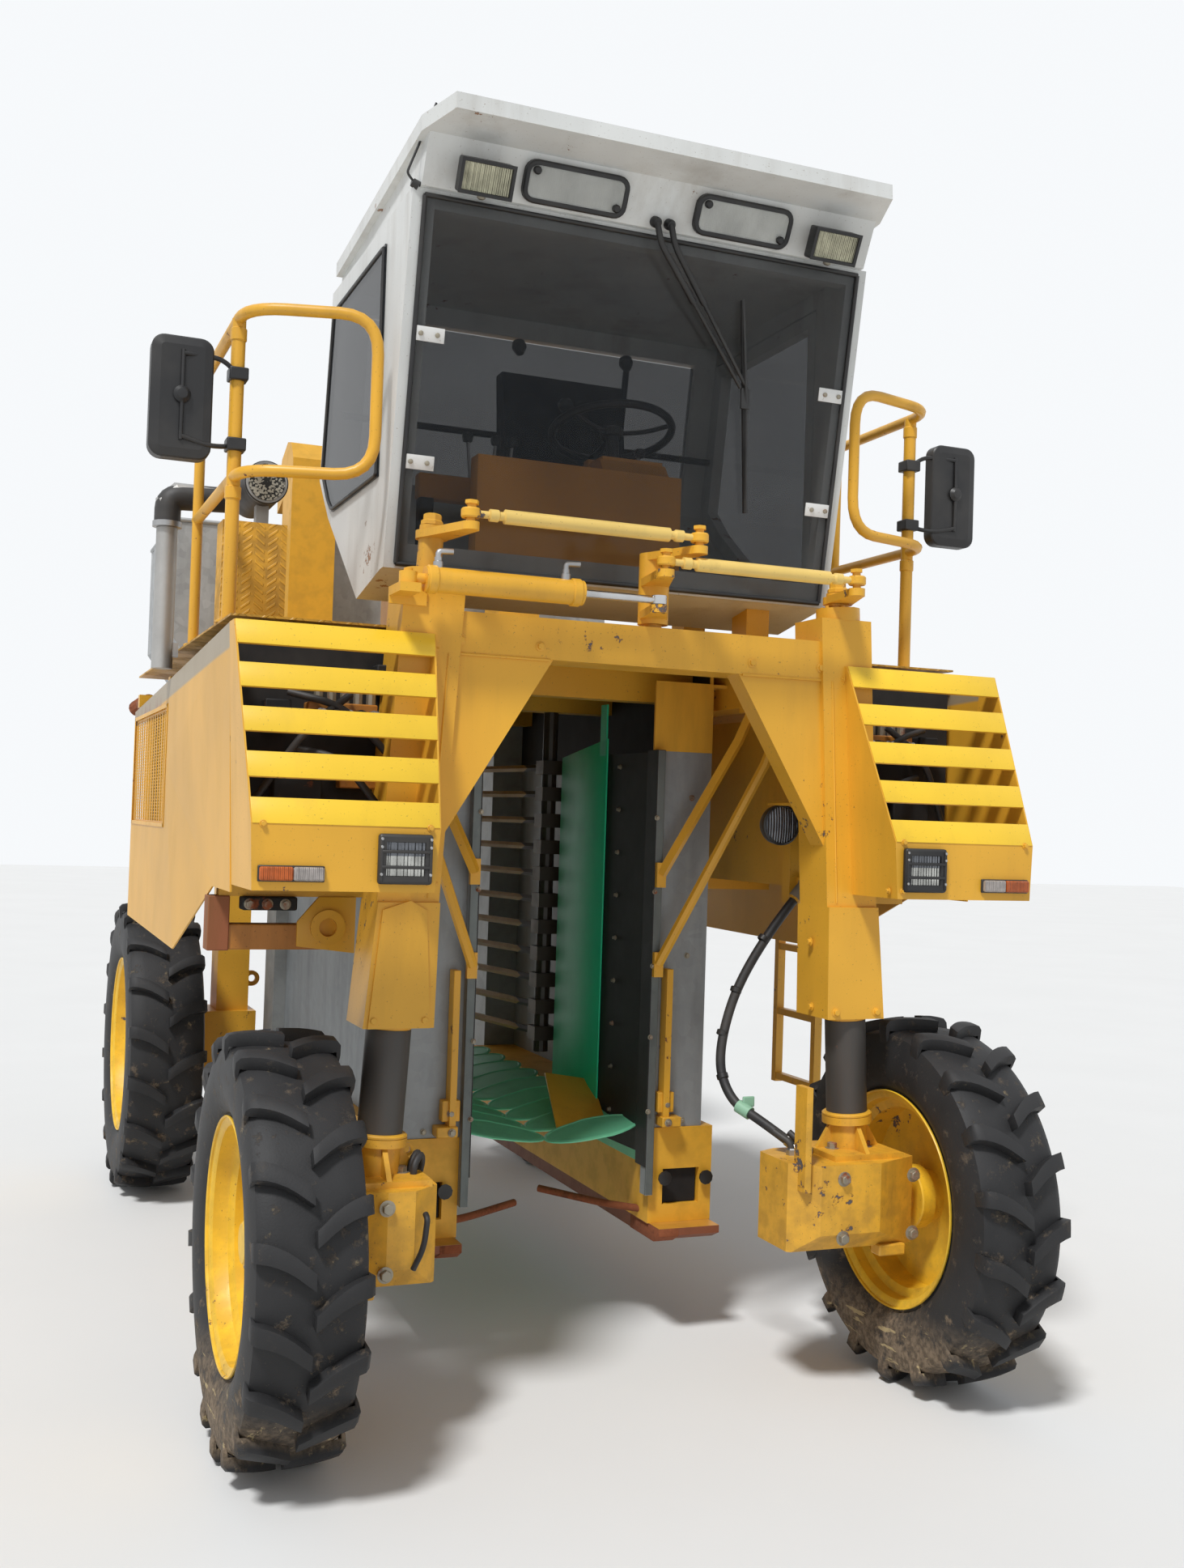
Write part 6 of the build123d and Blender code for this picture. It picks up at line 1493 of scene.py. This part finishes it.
class HARVESTER_OT_head_gear(bpy.types.Operator):
    """Model the guides, catching scales, brackets and star knobs of the picking head"""
    bl_idname = "harvester.head_gear"
    bl_label = "Head gear"

    LEAVES, LEAF_PITCH, LEAF_CORNERS = 9, 195, 28

    def leaf(self, sign, y, lift):
        """Catching scale: long leaf with a thin lip, its pivot at the tunnel's side."""
        loop = []
        for i in range(self.LEAF_CORNERS):
            a = 2 * math.pi * i / self.LEAF_CORNERS
            x, across = 165 + 168 * math.cos(a), 88 * math.sin(a)
            if x < 165:
                across *= 0.92
            loop.append(run(sign * x, across, 0))
        obj = plate("scale", loop, (0, 0, 0.004))
        with editing(obj) as mesh:
            choose(obj, mesh, lambda face: face.normal.z > 0.9)
            bpy.ops.mesh.inset(thickness=0.008, depth=0.003)
            bpy.ops.mesh.inset(thickness=0.004, depth=-0.003)
        droop = Matrix.Rotation(math.radians(sign * -10), 4, "Y")
        twist = Matrix.Rotation(math.radians(9), 4, "X")
        return moved([obj], Matrix.Translation(at(0, y, 634 + lift)) @ droop @ twist)[0]

    def scales_and_liners(self):
        leaves = []
        for i in range(self.LEAVES):
            y = 655 + i * self.LEAF_PITCH
            leaves += [self.leaf(1, y, 0), self.leaf(-1, y + 20, 4)]
        liner = [at(267, 880, 665), at(267, 1310, 665), at(267, 1310, 1905), at(267, 880, 1960)]
        right = [box("scale", (312, 324), (580, 2420), (560, 640)),
                 plate("liner", liner, run(6, 0, 0), 0.0015),
                 box("liner", (267, 273), (890, 945), (1900, 2079.5), 0.001)]
        return leaves + right + [copied(piece, MIRROR) for piece in right]

    @staticmethod
    def brackets(sign):
        """Angle bar in front of a side sheet, its brackets, knobs and studs, and a near-black sheet
        behind its window as painted shade.
        """
        pieces = [box("rail", (350, 372), (508, 555), (700, 1200), sign=sign),
                  box("hub", (335, 392), (518, 556), (735, 800), 0.003, sign=sign),
                  box("hub", (345, 412), (500, 556), (690, 722), 0.003, sign=sign)]
        # Painted shade: a near-black sheet behind the window
        back = rectangle((sign * 380, 568, 432), (sign * 500, 568, 543))
        pieces.append(plate("dark", back, run(0, 3, 0)))
        for x, z in ((372, 520), (520, 516)):
            pieces.append(turned("black", [(0.0, 0.0), (0.008, 0.0), (0.008, 0.014),
                                           (0.022, 0.016), (0.024, 0.026), (0.0, 0.030)],
                                 at(sign * x, 549, z), FORWARD, 10, angle=20))
        spots = [(365, 517, 760, 0.018), (365, 499, 705, 0.018)]
        spots += [(300, 519, z, 0.012) for z in (740, 980, 1210, 1450, 1690)]
        spots += [(440, 555.6, z, 0.014) for z in (700, 1240, 1760)]
        return pieces + [stud(at(sign * x, y, z), FORWARD, width) for x, y, z, width in spots]

    @staticmethod
    def edge_strips(sign):
        """Edge strips of a side sheet, and the inner sheet behind them with its studs."""
        inner = [at(sign * 296, 600, 600), at(sign * 274, 900, 600), at(sign * 274, 900, 1905),
                 at(sign * 296, 600, 1905)]
        return [box("edge", (299.4, 326), (519.6, 526), (470, 1912), sign=sign),
                box("dark sheet", (296, 300), (519.6, 600), (560, 1912), 0.001, sign=sign),
                plate("dark sheet", inner, run(sign * 2, 0, 0)),
                *(stud(at(sign * 282, 790, 700 + i * 145), (-sign, -0.07, 0), 0.012)
                  for i in range(9))]

    def execute(self, context):
        mounted("scales_and_liners", self.scales_and_liners(),
                node="scale_plates")
        mounted("head_brackets", self.brackets(1) + self.brackets(-1))
        bars = [tube("rust", [at(*p) for p in points], 0.012, 0.05, 3) for points in (
            ((-345, 600, 410), (-261, 657, 402), (-60, 765, 412)),
            ((361, 590, 402), (240, 735, 400), (75, 902, 420)))]
        mounted("rub_bars", bars)
        shoe = ((468, 370), (468, 346), (512, 322), (700, 322), (700, 370))
        mounted("skid_shoes", [plate("rust", [at(sign * 330, y, z) for y, z in shoe],
                                     run(sign * 70, 0, 0), 0.002) for sign, _ in SIDES])
        guide = [at(60, 700, 640), at(240, 700, 640), at(300, 1000, 760), at(120, 1000, 790)]
        mounted("guide_plate", [plate("body", guide, run(0, -4, 6), 0.001)])
        mounted("edge_strips", self.edge_strips(1) + self.edge_strips(-1))
        return {"FINISHED"}


class HARVESTER_OT_frame_gear(bpy.types.Operator):
    """Model the portal's bolts and seams, the hoppers' rolled rims, the beam under the left pod and
    the intake's fittings
    """
    bl_idname = "harvester.frame_gear"
    bl_label = "Frame gear"

    HOPPER_X, HOPPER_TOP = 990, 2900

    @staticmethod
    def portal_bolts(sign):
        """Places and normals of the bolts on one half of the portal."""
        leg_x = king_x(1128)
        spots = [(king_x(z) - 104.5, 20, z, -OUTWARD) for z in (1135, 1330)]
        spots += [(leg_x + x * 0.82, -74.4, 1128, FORWARD) for x in (-92, 78)]
        spots += [(x, -50.4, 2150, FORWARD) for x in (330, 560)]
        spots += [(king_x(z) - 92.4, 40, z, -OUTWARD) for z in (2080, 1900, 1700)]
        return [(at(sign * x, y, z), Vector((sign * normal.x, normal.y, 0)))
                for x, y, z, normal in spots]

    @staticmethod
    def portal_seams(sign):
        top, low = sign * (king_x(2112) - 60), sign * (king_x(1450) - 60)
        return [tube("body", [at(top, -62.5, 2112), at(low, -62.5, 1452)], 0.003, 0, 1),
                tube("body", [at(sign * 300, -50.5, 2114), at(sign * 600, -50.5, 2114)], 0.004,
                     0, 1)]

    def hopper_rim(self, sign):
        """Rolled rim of a hopper and the ribs on its outer side."""
        x, top = sign * self.HOPPER_X, self.HOPPER_TOP
        loop = [at(sign * 60, 2700, top), at(x, 2700, top), at(x, 3640, top),
                at(sign * 60, 3640, top)]
        x += sign * 0.6
        return [tube("tub", loop + loop[:2], 0.010, 0.03, 3),
                *(plate("tub", rectangle((x, y, 2400), (x, y + 40, top - 10)),
                        run(sign * 8, 0, 0), 0.003) for y in (2930, 3170, 3410))]

    @staticmethod
    def under_beam():
        """Beam under the left pod with its plate, boss, lug and studs; the lug is near black, as
        painted shade above the beam.
        """
        bracket = [at(-732, 322, 1270), at(-900, 322, 1290), at(-900, 322, 1360),
                   at(-840, 322, 1431), at(-732, 322, 1431)]
        return [box("valve", (-1140, -732), (330, 392), (1280, 1352), 0.004),
                box("rusty paint", (-1150, -1090), (322, 396), (1278, 1431), 0.003),
                plate("body", bracket, run(0, 12, 0), 0.002),
                turned("body", [(0.026, 0.0), (0.046, 0.0), (0.050, 0.012), (0.050, 0.02),
                                (0.026, 0.02)], at(-815, 322, 1345), FORWARD, 32, closed=True),
                # Near-black lug with the studs: painted shade over the beam's upper part
                box("engine", (-1060, -905), (300, 360), (1392, 1431), 0.006),
                *(stud(at(x, 299, 1410), FORWARD, 0.022, 0.012) for x in (-1040, -990, -940))]

    @staticmethod
    def intake_fittings():
        """Round canister, and the elbow with its clamp on the intake pipe."""

        def canister(finish, y, outline):
            return turned(finish, outline, at(-940, y, 2710), REARWARD, 40)

        return [canister("canister", 849, [(0.0, -0.004), (0.058, -0.004), (0.058, 0.0)]),
                canister("black", 852, [(0.0655, 0), (0.069, 0.002), (0.069, 0.014),
                                        (0.0655, 0.016)]),
                canister("hose", 850, [(0.0655, 0.016), (0.0662, 0.02), (0.0662, 0.29),
                                       (0.05, 0.303), (0.0, 0.303)]),
                tube("hose", [at(-1200, 1205, 2610), at(-1200, 1205, 2700), at(-990, 1205, 2710),
                              at(-940, 1180, 2710), at(-940, 1140, 2710)], 0.043, 0.09, 5),
                turned("steel", [(0.0345, 0), (0.0475, 0.002), (0.0475, 0.02), (0.0345, 0.022)],
                       at(-1200, 1205, 2596), UP, 30)]

    def execute(self, context):
        width = context.scene.harvester_sizes.bolt_width
        bolted("portal_bolts", self.portal_bolts(1) + self.portal_bolts(-1), width, "body")
        mounted("portal_seams", self.portal_seams(1) + self.portal_seams(-1))
        for sign, side in SIDES:
            mounted(f"hopper_rim_{side}", self.hopper_rim(sign), f"hopper_{side}")
        mounted("under_beam", self.under_beam())
        mounted("intake_fittings", self.intake_fittings())
        return {"FINISHED"}


class HARVESTER_OT_stage(bpy.types.Operator):
    """Set the pale floor, the soft light and the camera"""
    bl_idname = "harvester.stage"
    bl_label = "Stage"

    SUN_STRENGTH, SUN_SPREAD, SUN_AIM = 2.6, math.radians(9), Vector((0.50, 0.50, -1.05))
    SOFT_LIGHT, SOFT_STRENGTH = (0.93, 0.96, 1.0), 0.42
    BACKDROP = (0.93, 0.95, 0.97)

    @staticmethod
    def camera_axes():
        """Rows right, down and forward of the camera, in the part's frame."""
        yaw = Matrix.Rotation(YAW, 3, "Z")
        base = Matrix(((1, 0, 0), (0, 0, -1), (0, 1, 0)))
        pitch = Matrix.Rotation(PITCH, 3, "X")
        roll = Matrix.Rotation(ROLL, 3, "Z")
        return roll @ pitch @ base @ yaw

    def set_camera(self, scene):
        right, down, ahead = self.camera_axes()
        data = bpy.data.cameras.new("camera")
        data.lens = LENS_MM
        data.sensor_width = SENSOR_MM
        camera = bpy.data.objects.new("camera", data)
        turn = Matrix((right, -down, -ahead)).transposed()
        camera.matrix_world = Matrix.Translation(CAMERA_AT) @ turn.to_4x4()
        scene.collection.objects.link(camera)
        scene.camera = camera

    @staticmethod
    def lay_floor(size):
        clear()
        bpy.ops.mesh.primitive_plane_add(size=size)
        floor = bpy.context.object
        floor.name = "floor"
        f = Finish("floor")
        shade = f.mix(f.noise(0.8, 4.0).above(0.5, 0.6), (0.80, 0.80, 0.79), (0.77, 0.77, 0.76))
        floor.data.materials.append(f.surface(shade, 0.85))

    def light(self, scene):
        """Soft sun and pale world; camera, transmission and glossy rays see the backdrop."""
        sun = bpy.data.lights.new("key", "SUN")
        sun.energy = self.SUN_STRENGTH
        sun.angle = self.SUN_SPREAD
        key = bpy.data.objects.new("key", sun)
        key.rotation_euler = self.SUN_AIM.to_track_quat("-Z", "Y").to_euler()
        scene.collection.objects.link(key)
        world = bpy.data.worlds.new("studio")
        scene.world = world
        world.use_nodes = True
        shader = Nodes(world.node_tree)
        camera, glass, gloss = (shader.node("ShaderNodeLightPath", output=kind) for kind in (
            "Is Camera Ray", "Is Transmission Ray", "Is Glossy Ray"))
        seen = camera.reckon("MAXIMUM", camera, glass)
        seen = seen.reckon("MAXIMUM", seen, gloss)
        soft = shader.node("ShaderNodeBackground", {}, {"Color": self.SOFT_LIGHT,
                                                        "Strength": self.SOFT_STRENGTH})
        backdrop = shader.node("ShaderNodeBackground", {}, {"Color": self.BACKDROP,
                                                            "Strength": 1.0})
        blend = shader.node("ShaderNodeMixShader", {}, {0: seen, 1: soft, 2: backdrop})
        shader.node("ShaderNodeOutputWorld", {}, {"Surface": blend})

    def execute(self, context):
        scene = context.scene
        self.set_camera(scene)
        self.lay_floor(scene.harvester_sizes.floor_size)
        self.light(scene)
        scene.view_settings.view_transform = "Standard"
        return {"FINISHED"}


STEPS = (HARVESTER_OT_stage, HARVESTER_OT_finishes, HARVESTER_OT_hose, HARVESTER_OT_tyres,
         HARVESTER_OT_rims, HARVESTER_OT_lamps, HARVESTER_OT_cab_fittings, HARVESTER_OT_cab_inside,
         HARVESTER_OT_handrails, HARVESTER_OT_steering, HARVESTER_OT_motor_gear,
         HARVESTER_OT_pod_gear, HARVESTER_OT_grilles, HARVESTER_OT_head_gear,
         HARVESTER_OT_frame_gear)


class HARVESTER_PT_panel(bpy.types.Panel):
    """Sizes, colours and the steps that dress the harvester"""
    bl_idname = "HARVESTER_PT_panel"
    bl_label = "Grape Harvester"
    bl_space_type = "VIEW_3D"
    bl_region_type = "UI"
    bl_category = "Harvester"

    def draw(self, context):
        for group in (context.scene.harvester_sizes, context.scene.harvester_colours):
            for name in group.bl_rna.properties.keys():
                if name not in {"rna_type", "name"}:
                    self.layout.prop(group, name)
        for step in STEPS:
            self.layout.operator(step.bl_idname)


CLASSES = (HarvesterColours, HarvesterSizes, *STEPS, HARVESTER_PT_panel)


def register():
    for cls in CLASSES:
        bpy.utils.register_class(cls)
    bpy.types.Scene.harvester_colours = PointerProperty(type=HarvesterColours)
    bpy.types.Scene.harvester_sizes = PointerProperty(type=HarvesterSizes)


def unregister():
    del bpy.types.Scene.harvester_colours
    del bpy.types.Scene.harvester_sizes
    for cls in reversed(CLASSES):
        bpy.utils.unregister_class(cls)


def main():
    register()
    for step in STEPS:
        group, name = step.bl_idname.split(".")
        getattr(getattr(bpy.ops, group), name)()
    clear()


if __name__ == "__main__":
    main()
